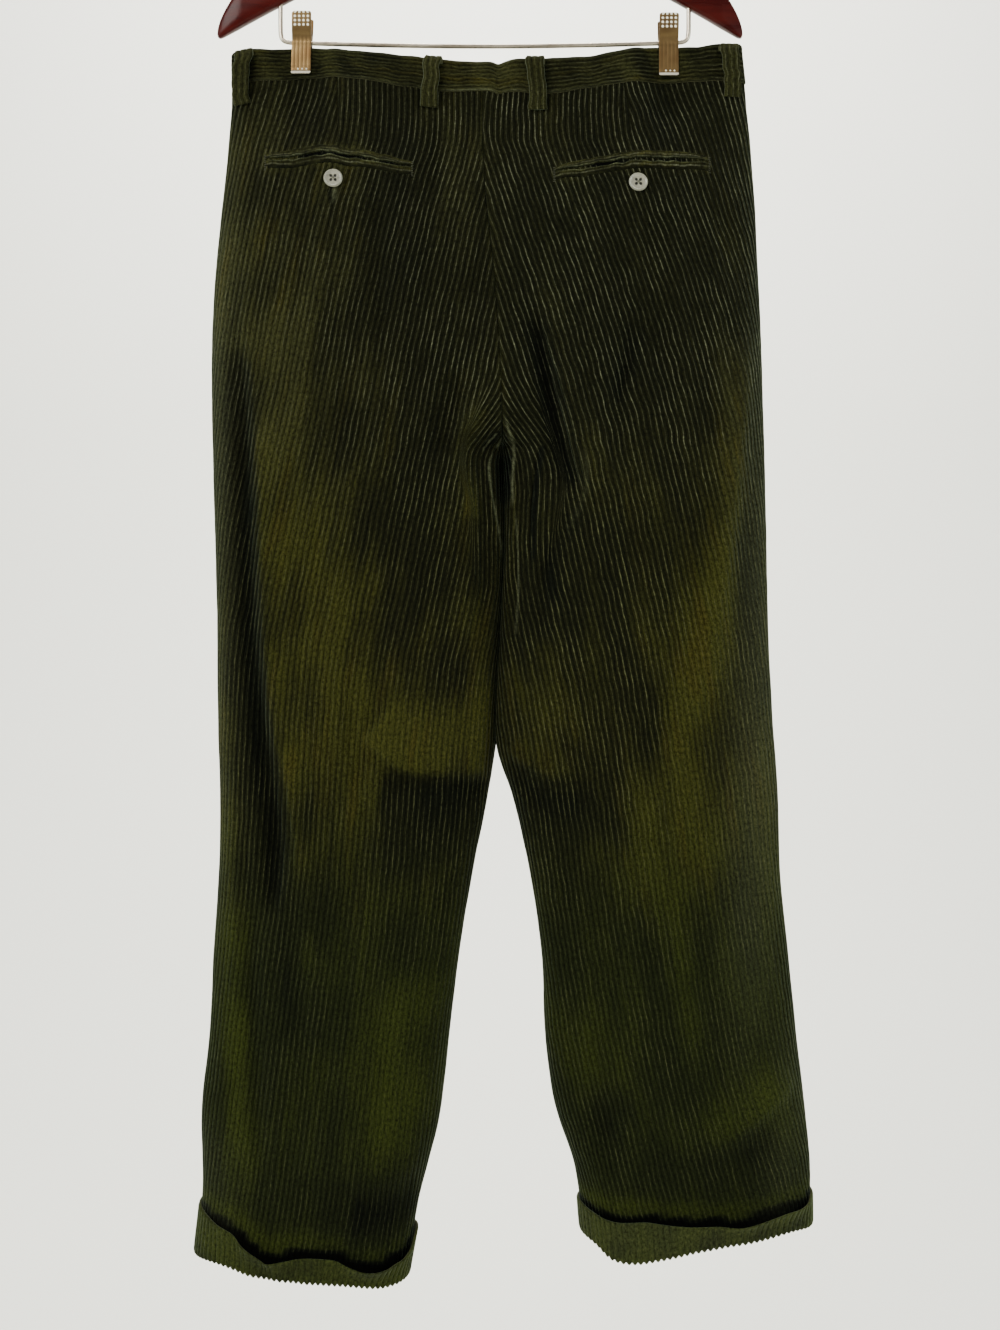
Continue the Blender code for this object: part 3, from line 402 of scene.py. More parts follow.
def unit(vectors):
    """Each vector at length one."""
    return vectors / np.maximum(np.linalg.norm(vectors, axis=-1, keepdims=True), 1e-12)


def run_length(points):
    """Length along a line of points, or along each row of them, up to every point."""
    step = np.cumsum(np.linalg.norm(np.diff(points, axis=-2), axis=-1), axis=-1)
    return np.concatenate([0 * step[..., :1], step], axis=-1)


def even_line(known, count):
    """Evenly set points of the smooth line through points given in millimetres, and the
    length up to each, in metres."""
    known = np.array(known, float) * MM
    step = run_length(known)
    even = np.linspace(0.0, step[-1], count)
    return np.stack([curve(even, step, known[:, 0]), curve(even, step, known[:, 1])], -1), even


def bells(table, field, x, drop):
    """Sum over a table of soft ovals: a bell exp(-u^2) across and a blunt bell
    exp(-v^4) along, each turned by its lean."""
    total = np.zeros(np.broadcast(x, drop).shape)
    for row in table:
        lean = radians(row.lean)
        right = x - row.x * MM
        down = drop - row.drop * MM
        along = (down * cos(lean) - right * sin(lean)) / (row.reach * MM)
        aside = (right * cos(lean) + down * sin(lean)) / (row.width * MM)
        total += getattr(row, field) * np.exp(-aside ** 2 - along ** 4)
    return total


def beside_line(line, reach, x, drop):
    """Distance from a line (+ to its right when it runs down, above it when it runs to
    the right) and the length along it, where within reach; far away, a large distance."""
    points, even = even_line(line, LINE_STEPS + 1)
    length = even[-1]
    x, drop = np.broadcast_arrays(x, drop)
    aside = np.full(x.shape, 9.0)
    place = np.zeros(x.shape)
    low, high = points.min(0) - reach, points.max(0) + reach
    near = (x > low[0]) & (x < high[0]) & (drop > low[1]) & (drop < high[1])
    near_x, near_drop = x[near], drop[near]
    best, best_place = aside[near], place[near]
    size = np.linalg.norm(np.diff(points, axis=0), axis=1)
    for k in range(LINE_STEPS):
        run = (points[k + 1] - points[k]) / size[k]
        right, down = near_x - points[k, 0], near_drop - points[k, 1]
        share = np.clip(right * run[0] + down * run[1], 0.0, size[k])
        off_x, off_drop = right - share * run[0], down - share * run[1]
        distance = np.hypot(off_x, off_drop)
        closer = distance < np.abs(best)
        sign = np.where(off_x * run[1] - off_drop * run[0] < 0, -1.0, 1.0)
        best = np.where(closer, sign * distance, best)
        best_place = np.where(closer, (k + share / size[k]) / LINE_STEPS * length, best_place)
    aside[near], place[near] = best, best_place
    return aside, place, length


def crease_sum(table, field, x, drop, wider=1.0):
    """Sum of the creases: a bell exp(-(distance / width)^2) with its own width on each
    side of the line, eased in and out at its ends."""
    total = np.zeros(np.broadcast(x, drop).shape)
    for row in table:
        reach = max(row.before, row.after) * MM * 2.6 * wider
        aside, place, length = beside_line(row.line, reach, x, drop)
        width = np.where(aside < 0, row.before, row.after) * MM * wider
        ends = smooth(place / (row.ends * MM)) * smooth((length - place) / (row.ends * MM))
        total += getattr(row, field) * bell(aside, width) * ends
    return total


def ripples(u, v, seed, longest, shortest, count=9):
    """Uneven ripples of about unit height: a seeded sum of plane sine waves in every
    direction, with wavelengths between the two given."""
    chance = np.random.default_rng(seed)
    total = np.zeros(np.broadcast(u, v).shape)
    for _ in range(count):
        wave = 2 * pi / np.exp(chance.uniform(np.log(shortest), np.log(longest)))
        turn, phase = chance.uniform(0, 2 * pi, 2)
        total += np.sin(wave * (u * cos(turn) + v * sin(turn)) + phase)
    return total / np.sqrt(count / 2)


def wale(phase):
    """Height of the pile over one wale, 0 to 1: a full round crown and a narrow groove,
    (1 - |2f - 1|^2.6)^0.6 for the fraction f of the phase."""
    part = phase - np.floor(phase)
    return np.clip(1 - np.abs(2 * part - 1) ** 2.6, 0.0, 1.0) ** 0.6


def wale_steps(count):
    """Places over a number of wales, with WALE_STEPS in each."""
    return (np.arange(count)[:, None] + WALE_STEPS).ravel()


# ---------------------------------------------------------------- the cloth's form
def waist_shift(x):
    """Height of the waist's edge against WAIST_TOP_Z: the table and slight ripples."""
    return read(WAIST_EDGE, "x", "rise", x) + 0.0004 * ripples(x, 0 * x, 41, 0.05, 0.014)


def section(field, drop):
    """A column of SECTIONS at the given drops."""
    return read(SECTIONS, "drop", field, drop)


def side_fold(panel, drop):
    """The fold at the panel's outer side."""
    return section("left_side" if panel.side < 0 else "right_side", drop)


def fork(drop):
    """0 down to where the centre seam starts to close, rising to 1 at the crotch."""
    return np.clip((drop - FORK_START) / (CROTCH_DROP - FORK_START), 0.0, 1.0)


def met(drop):
    """1 where the two legs lie against each other, fading to 0 below."""
    return 1 - smooth((drop - MEET_END) / MEET_FADE)


def inner_edge(panel, drop):
    """The centre seam down to the crotch, and the inner fold of the leg below it."""
    apart = 0.5 + 0.8 * smooth((drop - MEET_END) / MEET_FADE)
    clear = SEAM_GAP / 2 + smooth(fork(drop)) * WALE_HEIGHT * apart
    return section("left_inner" if panel.side < 0 else "right_inner", drop) + panel.side * clear


def form(panel, across, drop, creased=1.0):
    """Point of the ground cloth. The side half is a rounded oblong; the inner half
    leaves the centre depth in the seat and closes like the side in the leg. Folds and
    small ripples stand off it, by the share "creased" of their height."""
    side = side_fold(panel, drop)
    x = side + (inner_edge(panel, drop) - side) * across
    t = 2 * across - 1
    fall = fork(drop)
    centre = curve(drop, column(SECTIONS, "drop"), [row.centre for row in SECTIONS])
    centre = centre * np.sqrt(1 - fall ** 2)
    power = 1.0 + (1.0 / SIDE_POWER - 1.0) * smooth(fall)
    bulge = np.clip(1 - np.abs(t) ** SIDE_POWER, 0.0, 1.0)
    share = np.where(t < 0, bulge ** (1.0 / SIDE_POWER), centre + (1.0 - centre) * bulge ** power)
    depth = section("depth", drop) * (1.0 if panel.face < 0 else FRONT_DEPTH)
    folds = (bells(FOLDS[panel.name], "height", x, drop)
             + crease_sum(CREASES[panel.name], "height", x, drop)) * MM
    small = ripples(x * 2.2, drop, 7 + panel.side, 0.16, 0.045) * 0.00055 * smooth(drop / 0.12)
    y = (SEAM_GAP / 2 + depth * share
         + np.minimum(1.0, share / FOLD_FREE) * (folds + small) * creased)
    y = np.maximum(y, SEAM_GAP / 2 + np.minimum(depth * share, FLATTEST))
    sway = np.sin(pi / 2 * np.clip(panel.face * y / MEET_DEPTH, -1, 1))
    x = x + MEET_SWAY * (met(drop) * smooth(t) ** 2) * sway
    z = (WAIST_TOP_Z - drop + waist_shift(x) * (1 - smooth(drop / SAG_REACH))
         + round_leg(HEMS[panel.name], "lift", across)
         * smooth((drop - HEM_LIFT_START) / (HEM_DROP - HEM_LIFT_START)))
    return np.stack(np.broadcast_arrays(x, panel.face * y, z), axis=-1)


def surface(panel, across, drop):
    """Point and outward normal of the ground cloth: the normal is square to short steps
    across and down, and lies in the seam's own plane on a seam."""
    aside = (form(panel, np.minimum(across + 2e-4, 1.0), drop)
             - form(panel, np.maximum(across - 2e-4, 0.0), drop))
    down = (form(panel, across, np.minimum(drop + 0.002, HEM_DROP))
            - form(panel, across, np.maximum(drop - 0.002, 0.0)))
    normal = np.cross(aside, down) * -(panel.side * panel.face)
    in_seat = drop < CROTCH_DROP
    normal[..., 1] = np.where((across <= 0.0) | (across >= 1.0) & ~in_seat, 0.0, normal[..., 1])
    normal[..., 0] = np.where((across >= 1.0) & in_seat, 0.0, normal[..., 0])
    return form(panel, across, drop), unit(normal)


FINE = 541
ACROSS = (1 - np.cos(np.linspace(0.0, pi, FINE))) / 2


def arc_table(panel, drops, creased=1.0):
    """Points, and cloth measured from the side seam, for each drop at every ACROSS."""
    points = form(panel, ACROSS[None, :], np.atleast_1d(drops)[:, None], creased)
    return points, run_length(points)


def dart_line(dart, drops):
    """The dart's line, straight from the waist seam to its point, and the cloth taken in
    at each drop, which falls evenly to none at the point."""
    share = np.clip((drops - dart.drop_top * MM) / ((dart.drop_point - dart.drop_top) * MM), 0, 1)
    x = (dart.x_top + (dart.x_point - dart.x_top) * share) * MM
    return x, dart.intake * MM * (1 - share) ** 1.2


def wale_table(panel, drops):
    """Cloth's length and wale number over the panel, rising from the side seam inwards:
    the length from the grain line over the pitch, with a slight wander, and with the
    cloth hidden in the dart and round the crotch left out. The length is that of the
    cloth with its creases almost pressed out, so that the wales run on over them."""
    points, arc = arc_table(panel, drops)
    flat = arc_table(panel, drops, PRESSED)[1]
    inward = points[..., 0] * -panel.side
    grain_x = read(GRAIN[panel.name], "drop", "x", drops)
    grain = grain_x * -panel.side
    start = np.array([np.interp(*at_row) for at_row in zip(grain, inward, flat)])
    start = np.where(grain < inward[:, 0], grain - inward[:, 0], start)
    start = np.where(grain > inward[:, -1], flat[:, -1] + (grain - inward[:, -1]), start)
    lean = np.arctan(np.gradient(grain_x, drops))
    pitch = WALE_TOP + (WALE_HEM - WALE_TOP) * smooth((drops - 0.40) / 0.5)
    number = (flat - start[:, None]) * np.cos(lean)[:, None] / pitch[:, None]
    for share, seed, longest, shortest in ((0.10, 31, 0.35, 0.14), (0.05, 61, 0.06, 0.02)):
        number += share * ripples(points[..., 0], drops[:, None], seed + panel.side, longest,
                                  shortest)

    def take_in(line_x, hidden, over):
        """Wales hidden past a line, eased over a width."""
        past = inward + panel.side * line_x[:, None]
        return hidden[:, None] * smooth(past / over + 0.5)

    if panel.name in DARTS:
        line_x, taken = dart_line(DARTS[panel.name], drops)
        number += take_in(line_x, taken / pitch, 0.0005)
    turns = TURNS.get(panel.name)
    if turns:
        hidden = curve(drops, column(turns, "drop"), [row.hidden for row in turns])
        number += take_in(read(turns, "drop", "fold", drops), hidden, 0.007)
    return arc, np.maximum.accumulate(number, axis=1)


def cloth_point(panel, x, drop, out):
    """Point at a given x and drop, a distance outside the ground cloth. Above the
    waist's edge it goes straight up."""
    held = np.maximum(drop, 0.0)
    side = side_fold(panel, held)
    across = np.clip((x - side) / (inner_edge(panel, held) - side), 0.0, 1.0)
    point, normal = surface(panel, across, held)
    point = point + normal * out[..., None]
    point[..., 2] += held - drop
    return point


# ---------------------------------------------------------------- meshes
def clipped_grid(low, high, columns):
    """Point numbers where rising columns cross each row between the row's two edges. A
    column outside the row lies on its edge, so the piece narrows with no gap. Gives the
    numbers, each point's row and its column value."""
    at = np.clip(columns[None, :], low[:, None], high[:, None])
    at = np.concatenate([low[:, None], at, high[:, None]], axis=1)
    at = np.where(at - low[:, None] < 0.06, low[:, None], at)
    at = np.where(high[:, None] - at < 0.06, high[:, None], at)
    new = np.ones(at.shape, bool)
    new[:, 1:] = np.diff(at, axis=1) > 0
    ids = np.cumsum(new.ravel()).reshape(at.shape) - 1
    return ids, np.nonzero(new)[0], at[new]


def grid_triangles(ids):
    """Two triangles for each cell of a grid of point numbers, without collapsed ones."""
    a, b, c, d = ids[:-1, :-1], ids[:-1, 1:], ids[1:, 1:], ids[1:, :-1]
    both = np.concatenate([np.stack([a, b, c], -1).reshape(-1, 3),
                           np.stack([a, c, d], -1).reshape(-1, 3)])
    whole = (both[:, 0] != both[:, 1]) & (both[:, 1] != both[:, 2]) & (both[:, 2] != both[:, 0])
    return both[whole]


def edge_triangles(first, first_at, second, second_at):
    """Triangles between two lines of points with rising places: each new point of either
    line makes one with the last point of the other."""
    order = np.argsort(np.concatenate([first_at[1:], second_at[1:]]), kind="stable")
    is_first = order < len(first) - 1
    i = np.cumsum(is_first)
    j = np.cumsum(~is_first)
    i_was, j_was = i - is_first, j - ~is_first
    return np.where(is_first[:, None],
                    np.stack([first[i_was], first[i], second[j_was]], -1),
                    np.stack([first[i_was], second[j], second[j_was]], -1))


def once(line):
    """A line of point numbers without its repeats."""
    return line[np.append(True, np.diff(line) != 0)]


def lofted(rings, closed=False):
    """Points and triangles over rings of equal counts: closed round each ring and run
    from ring to ring; the ends are closed by fans, or closed to each other."""
    count, around = rings.shape[:2]
    ids = np.arange(count * around).reshape(count, around)
    ids = np.concatenate([ids, ids[:, :1]], axis=1)
    if closed:
        return rings, grid_triangles(np.concatenate([ids, ids[:1]], axis=0))
    fan = np.arange(1, around - 1)
    first = np.stack([0 * fan, fan + 1, fan], -1)
    last = ids[-1, 0] + np.stack([0 * fan, fan, fan + 1], -1)
    return rings, np.concatenate([grid_triangles(ids), first, last])


def tube(path, radius, sides=10):
    """Round tube along a path: rings square to it, turned as little as possible from a
    fixed upright, with closed ends."""
    path = np.asarray(path, float)
    along = unit(np.gradient(path, axis=0))
    helper = np.where(np.abs(along[:, 1:2]) > 0.9, [[1.0, 0.0, 0.0]], [[0.0, 1.0, 0.0]])
    first = unit(np.cross(along, helper))
    second = np.cross(along, first)
    turn = np.linspace(0.0, 2 * pi, sides, endpoint=False)[None, :, None]
    radius = np.broadcast_to(radius, (len(path),))[:, None, None]
    return lofted(path[:, None] + radius * (np.cos(turn) * first[:, None]
                                            + np.sin(turn) * second[:, None]))


def joined(shapes):
    """Several (points, triangles) as one."""
    points = [shape[0].reshape(-1, 3) for shape in shapes]
    starts = np.cumsum([0] + [len(some) for some in points])
    return np.concatenate(points), np.concatenate([shape[1] + start
                                                   for shape, start in zip(shapes, starts)])


def add_mesh(name, shape, material, node, slot, wales=None, sharp=None, **marks):
    """A smooth-shaded object from points and triangles, facing outwards, with its wale
    map and its marks (nap with painted light and shade; inside, which also paints button wells
    near black as shade; pale marks of wear and painted highlight), riding on the root and
    standing for its solid."""
    points = shape[0].reshape(-1, 3)
    triangles = shape[1]
    corner = points[triangles]
    if np.einsum("ij,ij->", corner[:, 0], np.cross(corner[:, 1], corner[:, 2])) < 0:
        triangles = triangles[:, ::-1]
    mesh = bpy.data.meshes.new(name)
    mesh.vertices.add(len(points))
    mesh.vertices.foreach_set("co", points.astype(np.float32).ravel())
    mesh.loops.add(triangles.size)
    mesh.loops.foreach_set("vertex_index", triangles.astype(np.int32).ravel())
    mesh.polygons.add(len(triangles))
    mesh.polygons.foreach_set("loop_start", np.arange(0, triangles.size, 3, dtype=np.int32))
    mesh.update(calc_edges=True)
    mesh.shade_smooth()
    if sharp:
        mesh.set_sharp_from_angle(angle=radians(sharp))
    if wales is not None:
        layer = mesh.uv_layers.new(name="wales")
        layer.uv.foreach_set("vector", wales[triangles.ravel()].astype(np.float32).ravel())
    for field in ("nap", "inside", "worn"):
        if field in marks:
            mark = mesh.attributes.new(field, "FLOAT", "POINT")
            mark.data.foreach_set("value", np.asarray(marks[field], np.float32).ravel())
    mesh.materials.append(material)
    thing = bpy.data.objects.new(name, mesh)
    bpy.context.collection.objects.link(thing)
    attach(thing, "root")
    if node:
        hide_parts(node)
    return thing


# ---------------------------------------------------------------- finishes
class Finish:
    """A named Principled finish, with short ways to add and join its shader nodes."""

    def __init__(self, name, color, roughness, metallic=0.0):
        """A new material with a plain colour, roughness and share of metal."""
        self.material = bpy.data.materials.new(name)
        self.material.use_nodes = True
        self.tree = self.material.node_tree
        self.done({"Base Color": (*color, 1.0), "Roughness": roughness, "Metallic": metallic})

    def done(self, values):
        """Set or link the shader's own sockets, and give the material."""
        self.fill(self.tree.nodes["Principled BSDF"], values)
        return self.material

    def fill(self, node, values):
        """Links from outputs, or fixed values, into a node's inputs."""
        for socket, value in values.items():
            if isinstance(value, bpy.types.NodeSocket):
                self.tree.links.new(value, node.inputs[socket])
            else:
                node.inputs[socket].default_value = value

    def add(self, kind, values, **settings):
        """A new node of a kind, with its settings and inputs; gives its outputs."""
        node = self.tree.nodes.new("ShaderNode" + kind)
        for name, value in settings.items():
            setattr(node, name, value)
        self.fill(node, values)
        return node.outputs

    def math(self, kind, *values, clamp=False):
        """A sum, product or other plain formula of a kind."""
        return self.add("Math", dict(enumerate(values)), operation=kind, use_clamp=clamp)[0]

    def ramp(self, value, slope, start, clamp=False):
        """start + slope * value."""
        return self.math("MULTIPLY_ADD", value, slope, start, clamp=clamp)

    def rest(self, value):
        """What is left to 1."""
        return self.math("SUBTRACT", 1.0, value)

    def times(self, product, *others):
        """The product of some values."""
        for value in others:
            product = self.math("MULTIPLY", product, value)
        return product

    def between(self, value, low, high):
        """0 below low and 1 above high, eased."""
        return self.add("MapRange", {"Value": value, "From Min": low, "From Max": high},
                        interpolation_type="SMOOTHSTEP")["Result"]

    def mix(self, share, *pair):
        """From the first colour to the second by a share."""
        first, second = ((*color, 1.0) if isinstance(color, tuple) else color for color in pair)
        return self.add("Mix", {0: share, 6: first, 7: second}, data_type="RGBA")[2]

    def noise(self, where, stretch, scale, detail=2.0, rough=0.5):
        """Cloudy noise over a place that is stretched first."""
        if stretch:
            where = self.add("Mapping", {"Vector": where, "Scale": stretch})["Vector"]
        return self.add("TexNoise", {"Vector": where, "Scale": scale, "Detail": detail,
                                     "Roughness": rough})["Fac"]

    def mark(self, name):
        """A mark that the mesh carries: nap and painted shading, inside, or pale wear and painted
        highlight.
        """
        return self.add("Attribute", {}, attribute_name=name)["Fac"]

    def place(self):
        """The place on the object, in metres."""
        return self.add("TexCoord", {})["Object"]

    def bump(self, height, strength, distance):
        """The facing tilted by a height."""
        return self.add("Bump", {"Strength": strength, "Distance": distance,
                                 "Height": height})["Normal"]


# Cloth colours: pile at rest, in painted deep shade and below the knee; olive where the
# nap lies up and painted light falls, in the seat, the thigh, patchy and below the knee;
# the ground in the grooves darkened as painted shade, painted black shade, the pale line of
# the crowns above and below (partly a painted highlight), pale marks of wear and painted
# highlight, and the reverse.
LINE_PLACE = 0.46
PILE = (0.0064, 0.0067, 0.0022)
PILE_DEEP = (0.0022, 0.0028, 0.0014)
PILE_GREEN = (0.0072, 0.0092, 0.0026)
OLIVE_GREY = (0.0250, 0.0258, 0.0078)
OLIVE = (0.0272, 0.0280, 0.0052)
OLIVE_WARM = (0.0290, 0.0262, 0.0046)
OLIVE_GREEN = (0.0185, 0.0235, 0.0038)
GROOVE_SHADE = (0.0020, 0.0025, 0.0011)
SHADE = (0.0006, 0.0007, 0.0004)
LINE = (0.106, 0.110, 0.066)
LINE_OLIVE = (0.070, 0.072, 0.026)
HIGHLIGHT_AND_WEAR = (0.105, 0.115, 0.062)
REVERSE = (0.060, 0.058, 0.028)
REVERSE_DARK = (0.030, 0.031, 0.015)


def corduroy(name, paler=0.0, lines=1.0, wale_shading=1.0):
    """Dark olive cut pile. Each wale has a thin pale line, partly a painted highlight, a
    little off its crown that comes and goes along it, an olive near side, and a far side and
    groove darkened with painted shade. Where the nap mark is high (nap lying lighter, and
    painted light) the wale turns plain olive and its line fades; where it is low the cloth
    takes painted shade, down to black. Below the knee it is greener and plainer. The inside
    is plain weave."""
    n = Finish(name, PILE, 0.95)
    wales = n.add("UVMap", {}, uv_map="wales")[0]
    run, along, _ = n.add("SeparateXYZ", {0: wales})
    where = n.place()
    x, _, height = n.add("SeparateXYZ", {0: where})
    sway = n.noise(wales, (0.7, 0.35, 1.0), 1.0, 3.0, 0.6)
    slow = n.noise(wales, (1.3, 0.16, 1.0), 1.0)
    tuft = n.noise(wales, (3.0, 0.9, 1.0), 1.0, 3.0, 0.7)
    fleck = n.noise(wales, (2.4, 1.5, 1.0), 1.0, 2.0, 0.7)
    pile = n.noise(wales, (8.0, 6.0, 1.0), 1.0, 2.0, 0.7)
    ragged = n.noise(wales, (0.9, 0.09, 1.0), 1.0, 2.0, 0.6)
    broad = n.noise(where, (1.0, 1.0, 0.6), 13.0, 3.0, 0.6)
    blotch = n.noise(where, (1.0, 1.0, 0.5), 32.0, 2.0, 0.6)
    # Pale line, partly a painted highlight: a thin stripe a little off each crown.
    part = n.math("FRACT", n.ramp(sway, 0.34, n.math("ADD", run, -0.17)))
    off = n.math("ABSOLUTE", n.math("SUBTRACT", part, LINE_PLACE))
    line = n.rest(n.between(n.math("DIVIDE", off, n.ramp(tuft, 0.08, 0.030)), 0.3, 1.5))
    # Painted shade: the far side of each wale and its narrow groove turn darker.
    far_side_shade = n.between(part, LINE_PLACE + 0.06, LINE_PLACE + 0.28)
    groove_shade = n.math("ABSOLUTE", n.math("SUBTRACT", n.math("FRACT", run), 0.5))
    groove_shade = n.between(groove_shade, 0.33, 0.48)

    thigh = n.rest(n.between(height, -0.70, -0.52))
    shin = n.math("SUBTRACT", 1.0, n.between(height, -1.06, -0.84), clamp=True)
    # The nap mark: how the nap lies, with painted light (+) and painted shade (-) on folds, creases,
    # the slit and recesses; noise breaks it up.
    nap = n.math("ADD", n.mark("nap"), n.ramp(broad, 0.5, -0.25 + paler))
    nap = n.math("ADD", nap, n.ramp(ragged, 0.9, -0.45))
    nap = n.math("ADD", nap, n.ramp(blotch, 0.45, -0.22))
    # lit: painted light; shaded and black: painted shade, black at its deepest.
    lit = n.between(nap, -0.25, 1.15)
    shaded = n.rest(n.between(nap, -1.5, -0.1))
    black = n.rest(n.between(nap, -3.4, -1.9))
    warm = n.between(n.noise(wales, (0.3, 0.05, 1.0), 1.0), 0.50, 0.70)
    warm = n.times(warm, n.rest(shin))

    olive = n.mix(warm, n.mix(shin, n.mix(thigh, OLIVE_GREY, OLIVE), OLIVE_GREEN), OLIVE_WARM)
    ground = n.mix(lit, n.mix(shin, PILE, PILE_GREEN), olive)
    ground = n.mix(shaded, ground, PILE_DEEP)
    less = n.times(n.ramp(lit, -0.68, 1.0), n.ramp(shin, -0.45, 1.0))
    ground = n.mix(n.times(far_side_shade, n.times(less, 0.45 * wale_shading)), ground, PILE_DEEP)
    ground = n.mix(n.times(groove_shade, n.times(less, 0.70 * wale_shading)), ground, GROOVE_SHADE)
    ground = n.mix(black, ground, SHADE)
    # Strength of the pale line (partly a painted highlight): it fades where painted light falls, below
    # the knee, in painted shade and on the left, and is gone in painted black shade.
    strength = n.times(n.ramp(n.between(slow, 0.32, 0.66), 0.85, 0.15),
                       n.ramp(n.between(tuft, 0.30, 0.62), 0.75, 0.25),
                       n.ramp(n.between(blotch, 0.34, 0.60), 0.65, 0.35),
                       n.times(less, 1.05 * lines), n.ramp(shaded, -0.35, 1.0),
                       n.rest(black), n.ramp(n.between(x, -0.13, 0.06), 0.40, 0.62))
    face = n.mix(n.times(line, strength), ground, n.mix(n.times(thigh, 0.75), LINE, LINE_OLIVE))
    # Pale marks: painted highlight along crowns and fold edges and painted sheen at the sides, partly
    # worn pile.
    face = n.mix(n.times(n.mark("worn"), n.ramp(tuft, 1.0, 0.35, clamp=True)), face, HIGHLIGHT_AND_WEAR)
    speck = n.ramp(pile, 1.9, n.ramp(fleck, 3.2, -1.52))
    face = n.add("HueSaturation", {"Value": n.math("MAXIMUM", speck, 0.25), "Color": face})[0]
    weave = n.times(n.math("SINE", n.times(run, 50.0)), n.math("SINE", n.times(along, 50.0)))
    reverse = n.mix(n.between(weave, -0.6, 0.6), REVERSE_DARK, REVERSE)
    return n.done({"Base Color": n.mix(n.mark("inside"), face, reverse),
                   "Normal": n.bump(n.math("ADD", fleck, tuft), 0.5, 0.0007),
                   "Specular IOR Level": 0.05, "Sheen Weight": 0.20, "Sheen Roughness": 0.28,
                   "Sheen Tint": (0.46, 0.60, 0.40, 1.0)})


def thread(name):
    """Twisted sewing thread: fine slanting rings in olive."""
    n = Finish(name, (0.030, 0.032, 0.012), 0.8)
    twist = n.noise(n.place(), None, 1800.0, 1.0)
    return n.done({"Base Color": n.mix(twist, (0.020, 0.022, 0.009), (0.045, 0.046, 0.020)),
                   "Normal": n.bump(twist, 0.4, 0.0003)})


def horn():
    """Polished grey horn: cloudy, with darker smoky streaks; its wells are painted near black as shade.
    """
    n = Finish("grey_horn", (0.31, 0.295, 0.24), 0.36)
    where = n.place()
    cloud = n.noise(where, (1.0, 1.0, 0.4), 150.0, 4.0, 0.6)
    smoke = n.between(n.noise(where, (0.5, 1.0, 1.2), 260.0, 3.0), 0.52, 0.75)
    color = n.mix(cloud, (0.11, 0.105, 0.078), (0.38, 0.365, 0.28))
    color = n.mix(n.times(smoke, 0.55), color, (0.11, 0.105, 0.080))
    return n.done({"Base Color": n.mix(n.mark("inside"), color, (0.004, 0.004, 0.003)),
                   "Roughness": n.ramp(cloud, 0.18, 0.24), "Coat Weight": 0.3})


def mahogany():
    """Dark red-brown lacquered wood: long grain with fine pores."""
    n = Finish("dark_mahogany", (0.09, 0.012, 0.01), 0.28)
    where = n.place()
    grain = n.noise(where, (3.0, 30.0, 30.0), 4.0, 3.0, 0.5)
    pores = n.between(n.noise(where, (8.0, 300.0, 300.0), 6.0), 0.60, 0.72)
    color = n.mix(n.between(grain, 0.3, 0.7), (0.030, 0.0022, 0.0018), (0.052, 0.0045, 0.0030))
    return n.done({"Base Color": n.mix(n.times(pores, 0.6), color, (0.014, 0.003, 0.003)),
                   "Roughness": n.ramp(grain, 0.14, 0.22), "Normal": n.bump(grain, 0.05, 0.0004),
                   "Specular IOR Level": 0.10, "Coat Weight": 0.03, "Coat Roughness": 0.15})


def plated(name, color, dull, roughness):
    """Gold-plated metal: fine rubbing marks, slightly dulled patches, and a painted highlight:
    marked studs and lips turn pale cream and less metallic, as glints."""
    n = Finish(name, color, roughness, 1.0)
    where = n.place()
    rub = n.noise(where, (1.0, 1.0, 6.0), 320.0, 3.0)
    face = n.mix(n.between(n.noise(where, None, 45.0), 0.35, 0.7), color, dull)
    painted_glint = n.mark("worn")
    return n.done({"Base Color": n.mix(painted_glint, face, (0.95, 0.88, 0.72)),
                   "Metallic": n.ramp(painted_glint, -0.65, 1.0),
                   "Roughness": n.ramp(rub, 0.2, roughness - 0.08)})


# ---------------------------------------------------------------- panels
# Drop of the waistband's lower seam along the back and front, in millimetres.
BAND_EDGE = rows("x drop", [
    (-230, 31), (-206, 30.3), (-179, 27.9), (-154, 27.0), (-129, 26.3), (-104, 27.0), (-80, 29.5),
    (-60, 30.5), (-39, 31.1), (-4, 28.8), (35, 33.2), (60, 34.4), (81, 31.0), (110, 31.0),
    (140, 31.5), (169, 31.1), (206, 34.0), (230, 34.5),
])
Laid = namedtuple("Laid", "ids row value point normal to_seam across crowd")


def band_edge(x):
    """Drop of the waistband's lower seam."""
    return read(BAND_EDGE, "x", "drop", x)


def pocket_edge(side, x):
    """Drop of a pocket's upper edge."""
    return read(POCKETS[side], "x", "drop", x)


def wale_map(number, length):
    """Wale numbers and the lengths along the wales, in pitches, as a flat map."""
    return np.stack(np.broadcast_arrays(number, length / WALE_TOP), -1).reshape(-1, 2)


def panel_drops(panel):
    """Rows of a panel, closer together round the crotch and where the legs part."""
    fine = np.linspace(PANEL_TOP, LEG_END, 3000)
    close = np.cumsum(1 + 1.1 * bell(fine - 0.338, 0.030) + 0.35 * bell(fine - 0.62, 0.05))
    count = int(close[-1] / close.size * (LEG_END - PANEL_TOP) / panel.row_step)
    return np.interp(np.linspace(close[0], close[-1], count), close, fine)


